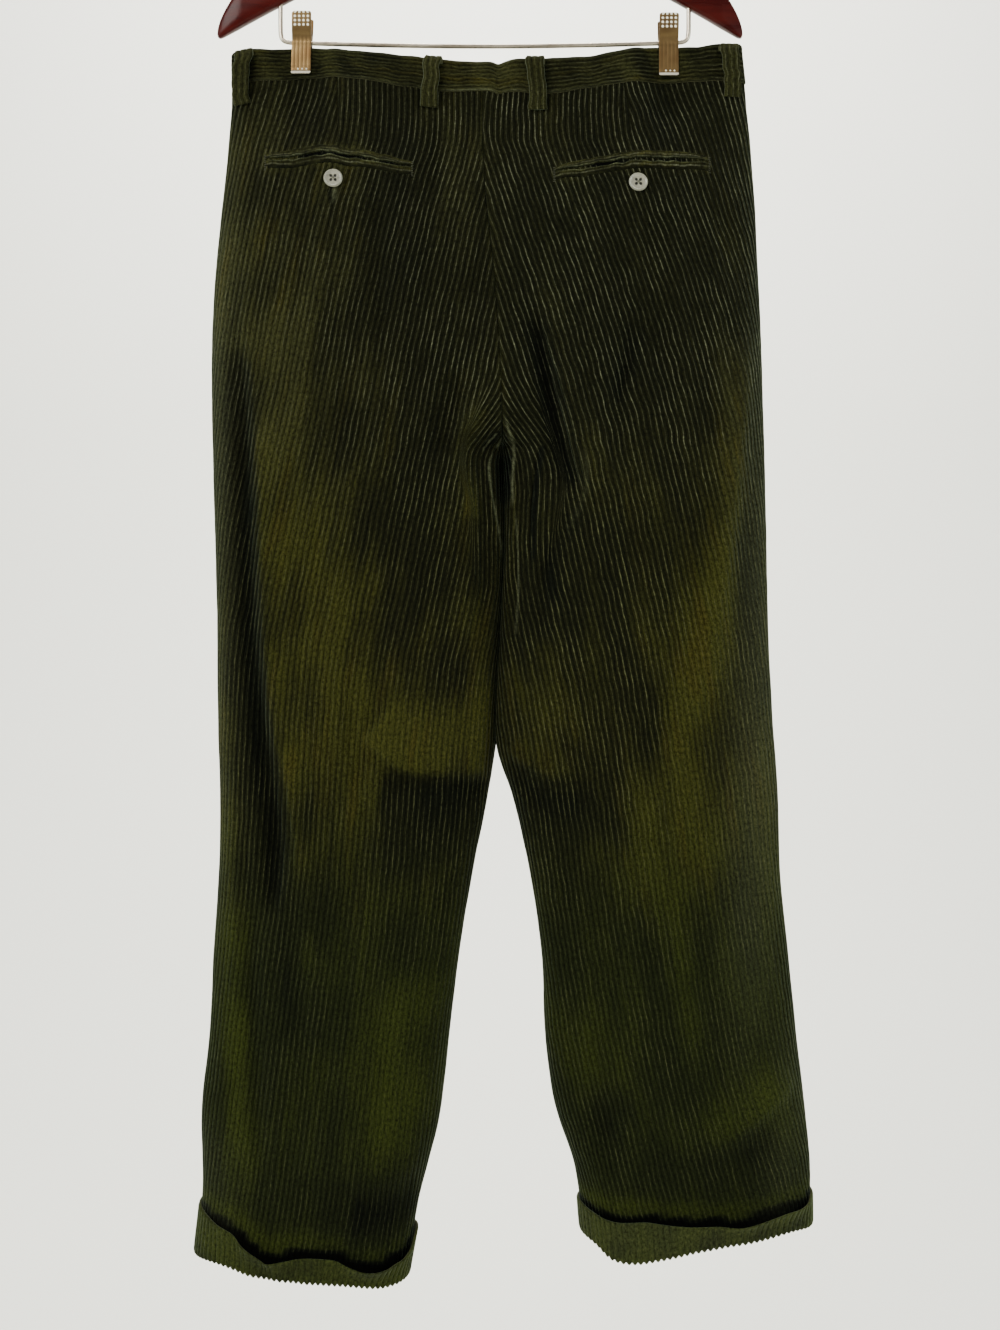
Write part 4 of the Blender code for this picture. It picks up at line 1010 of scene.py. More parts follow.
def pile_height(panel, x, drop, top):
    """Height of the outside over the ground cloth: the wales, lower where they crowd,
    pressed between the legs, and none at the seams, the band and the dart."""
    height = (WALE_HEIGHT * wale(top.value) * (1 + 0.10 * ripples(x * 3, drop, 5, 0.08, 0.02))
              * smooth(top.to_seam / SEAM_FADE))
    height /= np.maximum(1.0, top.crowd - 0.15) ** 1.5
    height -= 0.0004 * bell(top.to_seam, 0.0006)
    height *= smooth((drop - band_edge(x) + 0.0015) / 0.0010)
    height *= 1 - 0.6 * (smooth((drop - FORK_START) / 0.05) * met(drop) * (top.across > 0.5)
                         * (1 - smooth((top.to_seam - 0.004) / 0.004)))
    if panel.name in DARTS:
        line_x, taken = dart_line(DARTS[panel.name], drop)
        near = bell(x - line_x, 0.0011) * smooth(taken / 0.0012)
        height = height * (1 - near) - 0.0009 * near
    return height


def nap_and_shading_at(panel, x, drop, top):
    """How the nap lies, with painted light and shade, + paler and - darker: the patches,
    creases, folds (ridges painted paler, troughs darker) and seams, painted black shade in the
    slit between the legs, in the gap above the turn-up and in the pocket's mouth, with paler
    bands beside the last two."""
    nap = (bells(NAP_AND_SHADING[panel.name], "strength", x, drop)
           + crease_sum(CREASES[panel.name], "nap", x, drop, 1.2)
           + bells(FOLDS[panel.name], "height", x, drop) * 0.035
           + 0.12 * ripples(x * 2, drop, 77 + panel.side, 0.25, 0.05)
           + 0.25 * bell(top.to_seam, 0.004))
    # Painted shade: a black slit where the legs lie against each other.
    slit = smooth((drop - 0.380) / 0.02) * met(drop) * (top.across > 0.5)
    nap -= 6 * slit * bell(top.to_seam, 0.0019)
    # Above the turn-up: a paler band, then painted black shade in the gap behind its top edge.
    above_cuff = HEM_DROP - round_leg(CUFFS[panel.name], "height", top.across) - drop
    nap += 0.7 * bell(above_cuff - 0.012, 0.009)
    nap -= 5.5 * (1 - smooth((above_cuff - 0.0004) / 0.0040))
    # Back pockets: paler round the welts, as painted light on the raised cloth, and painted black shade
    # in the mouth.
    if panel.face < 0:
        side = "left" if panel.side < 0 else "right"
        end = np.minimum(x - POCKETS[side][0].x * MM, POCKETS[side][-1].x * MM - x)
        below = drop - pocket_edge(side, x) - MOUTH * MM
        nap += 0.75 * bell(below, 0.0088, 4) * smooth((end + 0.004) / 0.006)
        nap -= 4.6 * bell(below, 0.0021, 4) * smooth((end - 0.010) / 0.02)
    return nap


def make_panel(panel, cloth):
    """Seat and leg panel: points of the ground cloth moved out by the pile's height; a
    plain layer lies a cloth's thickness inside, and strips close the four edges."""
    drops = panel_drops(panel)
    arc, number = wale_table(panel, drops)
    low, high = number[:, 0], number[:, -1]
    whole = np.arange(np.floor(low.min()), np.ceil(high.max()) + 1)

    def lay(columns):
        """The ground cloth where columns of wale numbers cross the rows."""
        ids, row, value = clipped_grid(low, high, columns)
        across, length, crowd = np.empty((3, len(value)))
        starts = np.searchsorted(row, np.arange(len(drops) + 1))
        for r in range(len(drops)):
            here = slice(starts[r], starts[r + 1])
            dense = np.gradient(number[r], arc[r] + 1e-9 * ACROSS) * WALE_TOP
            for result, known in ((across, ACROSS), (length, arc[r]), (crowd, dense)):
                result[here] = np.interp(value[here], number[r], known)
        across[value == low[row]] = 0.0
        across[value == high[row]] = 1.0
        to_seam = np.minimum(length, arc[row, -1] - length)
        to_seam[(across == 0.0) | (across == 1.0)] = 0.0
        point, normal = surface(panel, across, drops[row])
        return Laid(ids, row, value, point, normal, to_seam, across, crowd)

    top = lay((whole[:, None] + WALE_STEPS).ravel())
    x, drop = top.point[:, 0], drops[top.row]
    outer = top.point + top.normal * pile_height(panel, x, drop, top)[:, None]
    # Pale marks: fold edges (worn pile and painted highlight) and painted sheen at the sides.
    worn = (crease_sum(PALE.get(panel.name, []), "height", x, drop)
            + bells(SIDE_SHEEN.get(panel.name, []), "strength", x, drop))
    under = lay(whole)
    under_ids = under.ids + len(outer)

    def rim(which):
        """The strip that joins the two layers along the first or the last row."""
        first, second = once(top.ids[which]), once(under_ids[which])
        return edge_triangles(first, top.value[first], second, under.value[second - len(outer)])

    down = np.arange(len(drops))
    triangles = np.concatenate([
        grid_triangles(top.ids), grid_triangles(under_ids)[:, ::-1], rim(0)[:, ::-1], rim(-1),
        edge_triangles(top.ids[:, 0], down, under_ids[:, 0], down),
        edge_triangles(top.ids[:, -1], down, under_ids[:, -1], down)[:, ::-1]])
    plain = np.zeros(len(under.point))
    return add_mesh(
        panel.name, (np.concatenate([outer, under.point - under.normal * CLOTH]), triangles),
        cloth, panel.node, "corduroy",
        wales=wale_map(-panel.side * np.concatenate([top.value, under.value]),
                       np.concatenate([drop, drops[under.row]])),
        nap=np.concatenate([nap_and_shading_at(panel, x, drop, top), plain]),
        worn=np.concatenate([worn, plain]), inside=np.concatenate([0 * worn, plain + 1]))


# ---------------------------------------------------------------- waistband and loops
def make_band(name, node, panels, cloth):
    """Half of the waistband, from side seam to side seam: its section is a row of level
    wales between a round top fold and a round lower fold, over a plain inside."""
    run = wale_steps(BAND_WALES)
    run = np.append(run[run >= 0.10], BAND_WALES - 0.10)
    radius = (BAND_PROUD + BAND_INSIDE) / 2
    turn = np.linspace(0.0, pi, 7)
    share = np.concatenate([run / BAND_WALES, [1.0, 1.0, 0.6, 0.2]])
    out = np.concatenate([
        BAND_PROUD + WALE_HEIGHT * 0.85 * wale(run) + 0.00025 * (run > BAND_WALES - 1),
        [0.0004, -BAND_INSIDE, -BAND_INSIDE, -BAND_INSIDE],
        (BAND_PROUD - BAND_INSIDE) / 2 - radius * np.cos(turn)])
    rings, places = [], []
    for panel in panels:
        arc = arc_table(panel, 0.012)[1][0]
        across = np.interp(np.linspace(0.0, 1.0, 150) * arc[-1], arc, ACROSS)
        across[0], across[-1] = 0.0, 1.0
        across = across[:-1] if panel.side < 0 else across[::-1]
        x = form(panel, across, 0.012)[:, 0]
        drop = radius + (band_edge(x)[:, None] - radius) * share
        sway = ripples(x[:, None] * 1.0, 0.012 * np.floor(run)[None, :], 23, 0.07, 0.012)
        drop[:, :len(run)] += 0.0005 * sway * np.sin(pi * run / BAND_WALES)
        over = np.broadcast_to(radius * (1 - np.sin(turn)), (len(x), len(turn)))
        drop = np.concatenate([drop, over], axis=1)
        point, normal = surface(panel, across[:, None], drop)
        wave = 1 + 0.12 * ripples(x[:, None] * 3, drop, 15, 0.05, 0.015)
        rings.append(point + normal * (out * wave)[..., None])
        places.append(x)
    rings, x = np.concatenate(rings), np.concatenate(places)
    number = np.concatenate([run, [BAND_WALES] * 4, 0 * turn])
    nap = (0.15 * ripples(x[:, None] * 2, number * 0.004, 91, 0.12, 0.03)
           + 0.45 * bell(x - 0.002, 0.035)[:, None])
    # Pale line along the band's seam: a painted highlight on the crown by the lower fold, strongest
    # round the middle and broken at random.
    clear = 0.12 + 0.5 * bell(x + 0.004, 0.042, 4)
    clear *= np.clip(0.7 + 0.5 * ripples(x, 0 * x, 53, 0.04, 0.008), 0, 1)
    inside = np.concatenate([0 * run, np.ones(4), turn < pi / 2])
    return add_mesh(name, lofted(rings), cloth, node, "corduroy",
                    wales=wale_map(number, x[:, None]), nap=nap,
                    inside=np.broadcast_to(inside, rings.shape[:2]),
                    worn=bell(number - BAND_WALES + 0.28, 0.13) * clear[:, None])


Loop = namedtuple("Loop", "x panel width rise foot bulge lean")
LOOPS = {
    "belt_loop_1": Loop(-212, BACK_LEFT, 13.5, -3.7, 50.3, 0.0, -2),
    "belt_loop_2": Loop(-46, BACK_LEFT, 15.0, -2.0, 48.4, 0.0, -3.8),
    "belt_loop_3": Loop(41.5, BACK_RIGHT, 15.0, -3.2, 51.2, 1.6, 4),
    "belt_loop_4": Loop(209.5, BACK_RIGHT, 13.5, -4.1, 48.4, 0.0, 4),
    "belt_loop_5": Loop(-100, FRONT_LEFT, 13.5, -0.5, 47, 0.0, -1),
    "belt_loop_6": Loop(104, FRONT_RIGHT, 13.5, -0.5, 47, 0.5, 1),
}


def make_loop(name, loop, cloth):
    """Belt loop: three wales carried along a path that springs from the band's top edge,
    stands off the band and ends flat below its seam."""
    start, bulge = -loop.rise, loop.bulge
    path, even = even_line([
        (start + 3.5, 2.5), (start + 1.2, 3.2), (start, 4.5), (start + 0.4, 6.0 + bulge),
        (start + 3.0, 7.4 + bulge), (9, 8.0 + bulge * 0.8), (25, 7.8), (loop.foot - 9, 5.8),
        (loop.foot - 4, 3.4), (loop.foot, 2.0)], 56)
    along = unit(np.gradient(path, axis=0))
    away = np.stack([along[:, 1], -along[:, 0]], -1)
    away *= np.sign(away[len(away) // 2, 1])

    run = np.append(wale_steps(3)[1:], 2.96)
    height = (1.45 + 0.45 * wale(run)) * MM
    height[[0, -1]] = 0.5 * MM
    ends = np.concatenate([run / 3 - 0.5, [0.5, 0.0, -0.5]])
    lift = np.concatenate([height, np.zeros(3)])
    half = loop.width * MM * (1 + 0.10 * smooth((even / even[-1] - 0.86) / 0.1)
                              + 0.14 * smooth(1 - even / 0.020))
    points, arc = arc_table(loop.panel, 0.02)
    order = -loop.panel.side
    middle = np.interp(order * loop.x * MM, order * points[0, :, 0], arc[0])
    middle = middle + order * loop.lean * MM * (path[:, :1] / (loop.foot * MM))
    waver = 0.0004 * ripples(even, 0 * even, int(abs(loop.x)), 0.03, 0.008)[:, None]
    x = np.interp(middle + order * (ends * half[:, None] + waver), arc[0], points[0, :, 0])
    rings = cloth_point(loop.panel, x, path[:, :1] + away[:, :1] * lift,
                        path[:, 1:] + away[:, 1:] * lift)
    nap = np.full(rings.shape[:2], 0.35) + 0.35 * smooth(1 - even / 0.02)[:, None]
    return add_mesh(name + "_strip", lofted(rings), cloth, name, "corduroy", nap=nap,
                    wales=wale_map(np.append(run, [3.0, 1.5, 0.0]), even[:, None]),
                    inside=np.tile([0.0] * len(run) + [1.0] * 3, len(rings)))


def make_loop_tacks(sewing):
    """Bar tacks over each loop's foot: a close row of stitches across it."""
    stitches = []
    for loop in LOOPS.values():
        across = np.linspace(-0.42, 0.42, 9) * loop.width
        for k in range(4):
            drop = (loop.foot - 2.6 + 0.45 * k) * MM + 0 * across
            out = (3.75 + 0.3 * np.cos(across / loop.width * 3) - 0.12 * k) * MM
            x = (loop.x + loop.lean + across) * MM
            stitches.append(tube(cloth_point(loop.panel, x, drop, out), 0.00022, 5))
    add_mesh("belt_loop_tacks", joined(stitches), sewing, None, "corduroy")


# ---------------------------------------------------------------- back pockets
WELT_BASE = 0.0003


def make_welt(side, which, cloth):
    """Pocket welt: a level plain strip with round edges, raised at its uneven lip along the
    mouth, whose pale line is a painted highlight, and dying into the cloth away from it;
    the two close at the ends."""
    edge, welt, upper = POCKETS[side], WELTS[which], which == "upper"
    x = np.linspace(edge[0].x, edge[-1].x, 130) * MM
    end = np.minimum(x - x[0], x[-1] - x)
    ease = smooth(end / 0.028)
    waver = 0.00050 * ripples(x, 0 * x, 3 if upper else 8, 0.035, 0.007) * (0.3 + 0.7 * ease)
    top = pocket_edge(side, x)
    start = (top + (welt.end_start + (welt.start - welt.end_start) * ease) * MM
             + waver * (0.5 if upper else 1.0))
    stop = (top + (welt.end_stop + (welt.stop - welt.end_stop) * ease) * MM
            + waver * (1.0 if upper else 0.0))
    share = np.linspace(0.0, 1.0, 22)
    lip = share if upper else 1 - share
    height = 1.25 + 0.9 * lip ** 2 + 0.75 * bell(lip - 0.90, 0.10)
    height = height * (1 - (2 * np.abs(share - 0.5)) ** 14 * 0.8)
    drop = start[:, None] + share * (stop - start)[:, None]
    out = WELT_BASE + height * MM * (0.45 + 0.55 * smooth(end / 0.008))[:, None]
    under = drop[:, [-1, len(share) // 2, 0]]
    rings = cloth_point(BACK_LEFT if side == "left" else BACK_RIGHT, x[:, None],
                        np.concatenate([drop, under], 1),
                        np.concatenate([out, 0 * under + WELT_BASE], 1))
    tone = 0.30 + 0.22 * ripples(x[:, None], 0.05 * share[None, :], 5, 0.05, 0.008)
    tone = tone - 0.5 * (1 - lip) * (0 if upper else 1)
    # Painted highlight: a pale line along the lip's crown, broken at random.
    worn = 0.62 * bell(lip - 0.90, 0.075) * (0.25 + 0.75 * ease[:, None])
    worn = worn * np.clip(0.7 + 0.4 * ripples(x, 0 * x, 29, 0.05, 0.02), 0.2, 1)[:, None]
    name = f"welt_{side}_{which}"
    return add_mesh(name + "_lip", lofted(rings), cloth, name, "corduroy",
                    wales=wale_map(np.append(0.10 + 0.75 * share, [0.2] * 3), x[:, None]),
                    nap=np.concatenate([tone, 0 * under], 1), inside=np.zeros(rings.shape[:2]),
                    worn=np.concatenate([worn, 0 * under], 1))


def make_tacks(sewing):
    """Upright bar tacks at the pockets' ends: each stitch is a small bowed tube lying on
    the cloth."""
    stitches = []
    bow = np.linspace(-1.0, 1.0, 5)
    for side, panel in (("left", BACK_LEFT), ("right", BACK_RIGHT)):
        for spot, turn in ((POCKETS[side][0], 1), (POCKETS[side][-1], -1)):
            for k in range(9):
                x = (spot.x + turn * (0.2 + 0.28 * (k % 2))) * MM + 0.8 * bow * MM
                drop = (spot.drop + 2.5 + k * 1.7) * MM + 0 * x
                out = (1.5 + 0.5 * np.cos(1.5 * bow)) * MM
                stitches.append(tube(cloth_point(panel, x, drop, out), 0.00024, 5))
    add_mesh("pocket_tacks", joined(stitches), sewing, None, "corduroy")


# ---------------------------------------------------------------- buttons
BUTTON_RADIUS = 0.0082
BUTTON_THICK = 0.0026
HOLE_OUT = 0.00180
HOLE_RADIUS = 0.00120
Button = namedtuple("Button", "panel x drop clear turn")
BUTTONS = {
    "pocket_button_left": Button(BACK_LEFT, -0.1325, 0.1229, 0.0014, 8),
    "pocket_button_right": Button(BACK_RIGHT, 0.1297, 0.1263, 0.0014, 40),
    "waist_button": Button(FRONT_RIGHT, 0.010, 0.015, 0.0024, 20),
}


def make_button(name, button, horn_finish, sewing):
    """Four-hole button: its face is a height over rings and spokes, a round rim and a
    shallow dish, less four round wells; a crossed thread joins the wells."""
    reach = np.append(np.linspace(0.0001, 0.0036, 17), np.linspace(0.0042, BUTTON_RADIUS, 12))
    turn = np.linspace(0.0, 2 * pi, 72, endpoint=False) + radians(button.turn)
    u, v = reach[:, None] * np.cos(turn), reach[:, None] * np.sin(turn)
    r = reach[:, None] / BUTTON_RADIUS + 0 * u
    face = BUTTON_THICK * (0.66 + 0.30 * bell(r - 0.87, 0.085))
    face = np.maximum(face * np.clip(1 - r ** 18, 0.0, 1.0) ** 0.5, BUTTON_THICK * 0.30)
    wells = 0 * face
    for hole_u, hole_v in ((a * HOLE_OUT, b * HOLE_OUT) for a in (-1, 1) for b in (-1, 1)):
        wells = wells + smooth((HOLE_RADIUS - np.hypot(u - hole_u, v - hole_v)) / 0.0003 + 0.5)
    back_r = np.array([BUTTON_RADIUS, BUTTON_RADIUS * 0.93, 0.0001])[:, None]
    back = np.stack([back_r * np.cos(turn), back_r * np.sin(turn),
                     np.array([0.25, 0.0, 0.0])[:, None] * BUTTON_THICK + 0 * turn], -1)
    local = np.concatenate([np.stack([u, v, face - 0.0015 * wells], -1), back])
    place = [np.array([button.x]), np.array([button.drop])]
    spot = cloth_point(button.panel, *place, np.array([button.clear]))[0]
    axis = unit(spot - cloth_point(button.panel, *place, np.array([0.0]))[0])
    first = unit(np.cross(axis, (0.0, 0.0, 1.0)))
    second = np.cross(axis, first)

    def at(points):
        """Points given across, up and out of the button, in the part's frame."""
        return (spot + points[..., :1] * first + points[..., 1:2] * second
                + points[..., 2:] * axis)

    # The inside mark paints the four wells near black: painted shade in the holes.
    add_mesh(name + "_disc", lofted(at(local)), horn_finish, name, "horn", sharp=55,
             inside=np.concatenate([wells, 0 * back[..., 0]]))
    bow = np.linspace(-1.0, 1.0, 13)
    rise = BUTTON_THICK * 0.66 + 0.0004 * (1 - bow ** 4) - 0.0008 * bow ** 16
    strands = []
    for way in (1, -1):
        for shift in (-0.00022, 0.00022):
            line = [bow * HOLE_OUT + shift, way * bow * HOLE_OUT - way * shift,
                    rise + (0.00012 if way > 0 else 0.0)]
            strands.append(tube(at(np.stack(line, -1)), 0.00010, 6))
    add_mesh(name + "_thread", joined(strands), sewing, None, "corduroy")
    shank = at(np.stack([0 * bow, 0 * bow, -0.0012 + 0.0008 * (bow + 1)], -1))
    add_mesh(name + "_shank", tube(shank, 0.0012, 12), sewing, None, "corduroy")


# ---------------------------------------------------------------- fly
FLY_WIDTH = 0.038
FLY_START = 0.0285
FLY_END = 0.205
FLY_WALES = 8


def make_fly(cloth, sewing):
    """Fly flap on the left front: upright wales and a round lower corner, with its
    curved row of stitching."""
    run = np.append(wale_steps(FLY_WALES), FLY_WALES)
    over = run / FLY_WALES
    ends = FLY_START + (FLY_END - FLY_START) * (0.78 + 0.22 * np.sqrt(1 - (1 - over) ** 2))
    share = np.linspace(0.0, 1.0, 44)[:, None]
    drops = FLY_START + (ends - FLY_START) * share
    x = section("left_inner", drops[:, -1])[:, None] - 0.0004 - FLY_WIDTH * (1 - over)
    edge = np.minimum(over, 1 - over) * FLY_WIDTH
    soft = smooth(edge / 0.0011) * smooth((ends - FLY_START) * (1 - share) / 0.0012)
    out = WALE_HEIGHT * 1.15 + CLOTH * (0.3 + 0.7 * soft) + WALE_HEIGHT * wale(run) * soft
    layers = np.stack([cloth_point(FRONT_LEFT, x, drops, out),
                       cloth_point(FRONT_LEFT, x, drops, 0 * out + WALE_HEIGHT * 0.4)])
    top, under = np.arange(2 * out.size).reshape(2, *out.shape)
    across, down = np.arange(out.shape[1]), np.arange(out.shape[0])
    triangles = np.concatenate([
        grid_triangles(top), grid_triangles(under)[:, ::-1],
        edge_triangles(top[0], across, under[0], across)[:, ::-1],
        edge_triangles(top[-1], across, under[-1], across),
        edge_triangles(top[:, 0], down, under[:, 0], down),
        edge_triangles(top[:, -1], down, under[:, -1], down)[:, ::-1]])
    flap = add_mesh("fly_flap", (layers, triangles), cloth, "fly", "corduroy",
                    wales=np.tile(wale_map(run, drops), (2, 1)), nap=np.full(2 * out.size, 0.1),
                    inside=np.repeat([0.0, 1.0], out.size))

    line = np.linspace(0.0, 1.0, 241)
    bend = smooth((line - 0.72) / 0.28)
    drop = 0.031 + (FLY_END - 0.043) * np.minimum(line / 0.84, 1.0)
    drop = drop + 0.030 * np.sin(bend * pi / 2) - 0.020 * bend
    x = -FLY_WIDTH * 0.84 * np.cos(bend * pi / 2) - 0.002 + section("left_inner", drop)
    path = cloth_point(FRONT_LEFT, x, drop, 0 * line + 0.0034)
    add_stitches("fly_stitching", path, sewing)
    return flap


def add_stitches(name, path, sewing, length=0.0028, gap=0.0009):
    """A row of stitches along a path: each is a bowed tube a stitch long, with its ends
    sunk, and short gaps between."""
    step = run_length(path)
    starts = np.arange(0.0, step[-1] - length, length + gap)
    places = starts[:, None] + np.linspace(0.0, length, 5)
    lines = np.stack([np.interp(places, step, path[:, axis]) for axis in range(3)], -1)
    add_mesh(name, joined([tube(line, 0.00022, 5) for line in lines]), sewing, None, "corduroy")


# ---------------------------------------------------------------- turn-ups
CUFF_WALES = 98
CUFF_CLEAR = WALE_HEIGHT + 0.0008
CUFF_TUCK = 0.0016             # the plain inside starts this high
CUFF_TOOTH = 0.0020


def make_cuff(side, cloth):
    """Turn-up: the cloth folds under the leg's end and stands up outside it, its wales
    upright. Its section runs down the outside, round the fold, in under the leg, and
    back up the inside; each crown makes a tooth at the fold."""
    back, front = (BACK_LEFT, FRONT_LEFT) if side == "left" else (BACK_RIGHT, FRONT_RIGHT)
    whole = wale_steps(CUFF_WALES)
    around = whole / CUFF_WALES
    on_back = around < 0.5
    halves = []
    for panel, share in ((back, np.minimum(2 * around, 1)), (front, np.clip(2 - 2 * around, 0, 1))):
        arc = arc_table(panel, HEM_DROP - 0.010)[1][0]
        halves.append(np.interp(share * arc[-1], arc, ACROSS))
    across = np.where(on_back, *halves)
    height, flare = (np.where(on_back, round_leg(CUFFS[back.name], field, across),
                              round_leg(CUFFS[front.name], field, across))
                     for field in ("height", "flare"))

    radius = (CUFF_CLEAR + 2 * CLOTH) / 2
    pile = WALE_HEIGHT * 1.1 * wale(whole)
    tooth = CUFF_TOOTH * (1 - np.cos(2 * pi * whole)) / 2
    # One row for each ring: height, stand-off, how far the pile stands outwards and
    # downwards, and whether it is the inside.
    rings = []
    for share in np.linspace(1.0, 0.0, 15):
        rings.append((height * share + radius * (1 - share),
                      CUFF_CLEAR + CLOTH + flare * share ** 1.6, 1.0, 0.0, 0.0))
    for turn in np.linspace(0.0, pi, 8)[1:-1]:
        rings.append((0 * height + radius * (1 - sin(turn)),
                      0 * height + (CUFF_CLEAR + CLOTH - radius) + radius * cos(turn),
                      cos(turn), sin(turn), 0.0))
    for up, out in ((radius, -CLOTH), (0.010, -CLOTH - 0.0004), (0.010, -CLOTH * 0.75),
                    (CUFF_TUCK, -CLOTH * 0.5), (CUFF_TUCK, CUFF_CLEAR)):
        rings.append((0 * height + up, 0 * height + out, 0.0, 0.0, 1.0))
    for share in np.linspace(0.2, 1.0, 6):
        rings.append((CUFF_TUCK + (height - CUFF_TUCK) * share - 0.0003 * (share == 1.0),
                      CUFF_CLEAR + flare * share ** 1.6, 0.0, 0.0, 1.0))
    ups, outs, outward, downward, inside = (np.array(part) for part in zip(*rings))
    outward, downward, outside = outward[:, None], downward[:, None], 1 - inside[:, None]
    lip = np.ones((len(ups), 1))
    lip[0] = 0.35
    drop = HEM_DROP - ups + downward * (pile * 0.5 + tooth)
    out = outs + outward * pile * lip
    extra = np.maximum(drop - HEM_DROP, 0.0)
    drop = np.minimum(drop, HEM_DROP)
    back_part, front_part = (surface(panel, half + 0 * drop, drop)
                             for panel, half in zip((back, front), halves))
    point, normal = (np.where(on_back[:, None], *pair) for pair in zip(back_part, front_part))
    points = point + normal * out[..., None]
    points[..., 2] -= extra
    seam = bell(around, 0.003) + bell(around - 0.5, 0.003)
    nap = (0.20 + 0.30 * ripples(around * 0.42, ups, 12 + len(side), 0.10, 0.03) - 0.3 * seam
           + 0.2 * outside * np.linspace(1, 0, len(ups))[:, None])
    return add_mesh("turn_up_" + side, lofted(points, closed=True), cloth, "cuff_" + side,
                    "corduroy", wales=wale_map(-back.side * whole, ups), nap=nap,
                    inside=np.repeat(inside, len(whole)),
                    worn=(0.05 if side == "left" else 0.10) * outside + 0 * ups)


# ---------------------------------------------------------------- hanger
WOOD_TIPS = (0.2375, 0.2243)   # left and right arm
WOOD_TIP_Z = -0.2120
WOOD_NECK_Z = -0.1100
WOOD_POWER = 1.33
WOOD_HALF_HEIGHT = 0.0190
WOOD_HALF_RISE = 0.0215        # half the arm's height measured upright
WOOD_HALF_THICK = 0.0070
WOOD_POINT = 0.034             # the tip narrows over this length
HOOK_RADIUS = 0.0235
HOOK_WIRE = 0.0017
HOOK_STEM = [(0, -75), (0.6, -68), (2.2, -60), (5, -53.5)]
BAR_Z = -0.2352
BAR_SAG = 0.0035
BAR_RADIUS = 0.0020
BAR_ENDS_X = (-0.182, 0.177)
PLATE_THICK = 0.0010
PLATE_RIDGE = 0.00009
GROOVES = 4
STUD_STEP_UP = 3.5
STUDS_UP = 13.0                # height of the lowest row of large studs
COIL_RADIUS = 0.0029
COIL_HALF = 0.0042
CLAMPS = {"left": (-0.163, 0.0, 0.022), "right": (0.159, -0.0016, 0.0)}   # x, slip, lean
# Clamp plate's inner face, in millimetres: height against the bar, distance from the
# middle plane.
PLATE_PATH = [(24.3, 9.5), (16, 8.4), (9, 6.8), (3, 4.5), (0, 4.1), (-4, 4.7), (-10, 5.2),
              (-21, 5.2), (-27, 5.4), (-29.3, 6.6)]


def wood_line(x):
    """Middle line of the arms: they fall as a power of the distance out."""
    out = np.sqrt(x * x + 0.006 ** 2) / np.where(x < 0, *WOOD_TIPS)
    return WOOD_NECK_Z - (WOOD_NECK_Z - WOOD_TIP_Z) * out ** WOOD_POWER


def make_wood(wood):
    """Arms as one bent bar of upright squarish oval sections. Its lower edge runs on to
    each tip, and its upper edge comes down to it as a root of the distance."""
    ends = np.array([0, 0.4, 1.2, 2.6, 5, 8, 12, 17, 23, 29, 34]) * MM
    arm = np.linspace(0.040, 1.0, 60)[1:]
    left, right = WOOD_TIPS
    x = np.concatenate([-left + ends, -left + (left - 0.002) * arm,
                        right - (right - 0.002) * arm, right - ends])
    x = np.unique(np.round(x, 6))
    from_tip = np.where(x < 0, left + x, right - x)
    upper = 2 * WOOD_HALF_RISE * np.clip(0.11 + 0.89 * (from_tip / WOOD_POINT) ** 0.5, 0, 1)
    lower = 0.0047 * (1 - np.sqrt(1 - np.clip(1 - from_tip / 0.0045, 0.0, 1.0) ** 2))
    middle = wood_line(x) - WOOD_HALF_RISE + (upper + lower) / 2
    thick = WOOD_HALF_THICK * (0.25 + 0.75 * np.clip(from_tip / 0.02, 0.0, 1.0) ** 0.5)
    turn = np.linspace(0.0, 2 * pi, 40, endpoint=False)
    wide, tall = (np.sign(part) * np.abs(part) ** 0.5 for part in (np.cos(turn), np.sin(turn)))
    rings = np.stack(np.broadcast_arrays(
        x[:, None], wide * thick[:, None],
        middle[:, None] + tall * ((upper - lower) / 2 + 0.00005)[:, None]), -1)
    add_mesh("hanger_arms", lofted(rings), wood, "hanger_wood", "wood", sharp=50)


def rounded(points, step, passes):
    """A path of straight runs, set out evenly and eased by averaging neighbours, its two
    ends held."""
    points = np.asarray(points, float)
    length = run_length(points)
    even = np.linspace(0.0, length[-1], int(length[-1] / step) + 2)
    path = np.stack([np.interp(even, length, points[:, k]) for k in range(3)], -1)
    for _ in range(passes):
        path[1:-1] = (path[:-2] + 2 * path[1:-1] + path[2:]) / 4
    return path


def make_hook(metal):
    """Wire hook: a stem that leaves the neck, most of a circle whose inner crown is the
    origin, and a ball at its tip; a thin collar sits round the stem's foot."""
    neck_top = WOOD_NECK_Z + WOOD_HALF_HEIGHT
    stem = [(0.0, 0.0, neck_top)] + [(x * MM, 0.0, z * MM) for x, z in HOOK_STEM]
    turn = np.radians(np.linspace(-58, 205, 70))
    circle = np.stack([HOOK_RADIUS * np.cos(turn), 0 * turn,
                       HOOK_WIRE - HOOK_RADIUS + HOOK_RADIUS * np.sin(turn)], -1)
    path = rounded(np.concatenate([stem, circle]), 0.0013, 8)
    tip = np.arange(len(path))[::-1] / 3.0
    radius = HOOK_WIRE * np.sqrt(1 - np.clip(1 - tip, 0.0, 0.98) ** 2)
    collar = [(0.0, 0.0, neck_top + up) for up in (-0.0012, 0.0004, 0.0012, 0.0016)]
    parts = [tube(path, radius, 16), tube(collar, [0.0034, 0.0034, 0.0030, 0.0018], 20)]
    add_mesh("hanger_hook_wire", joined(parts), metal, "hanger_hook", "wire")


def bar_height(x):
    """Height of the bar between its bends: it sags a little in the middle."""
    middle = sum(BAR_ENDS_X) / 2
    half = (BAR_ENDS_X[1] - BAR_ENDS_X[0]) / 2
    return BAR_Z - BAR_SAG * np.cos(pi / 2 * (x - middle) / half)


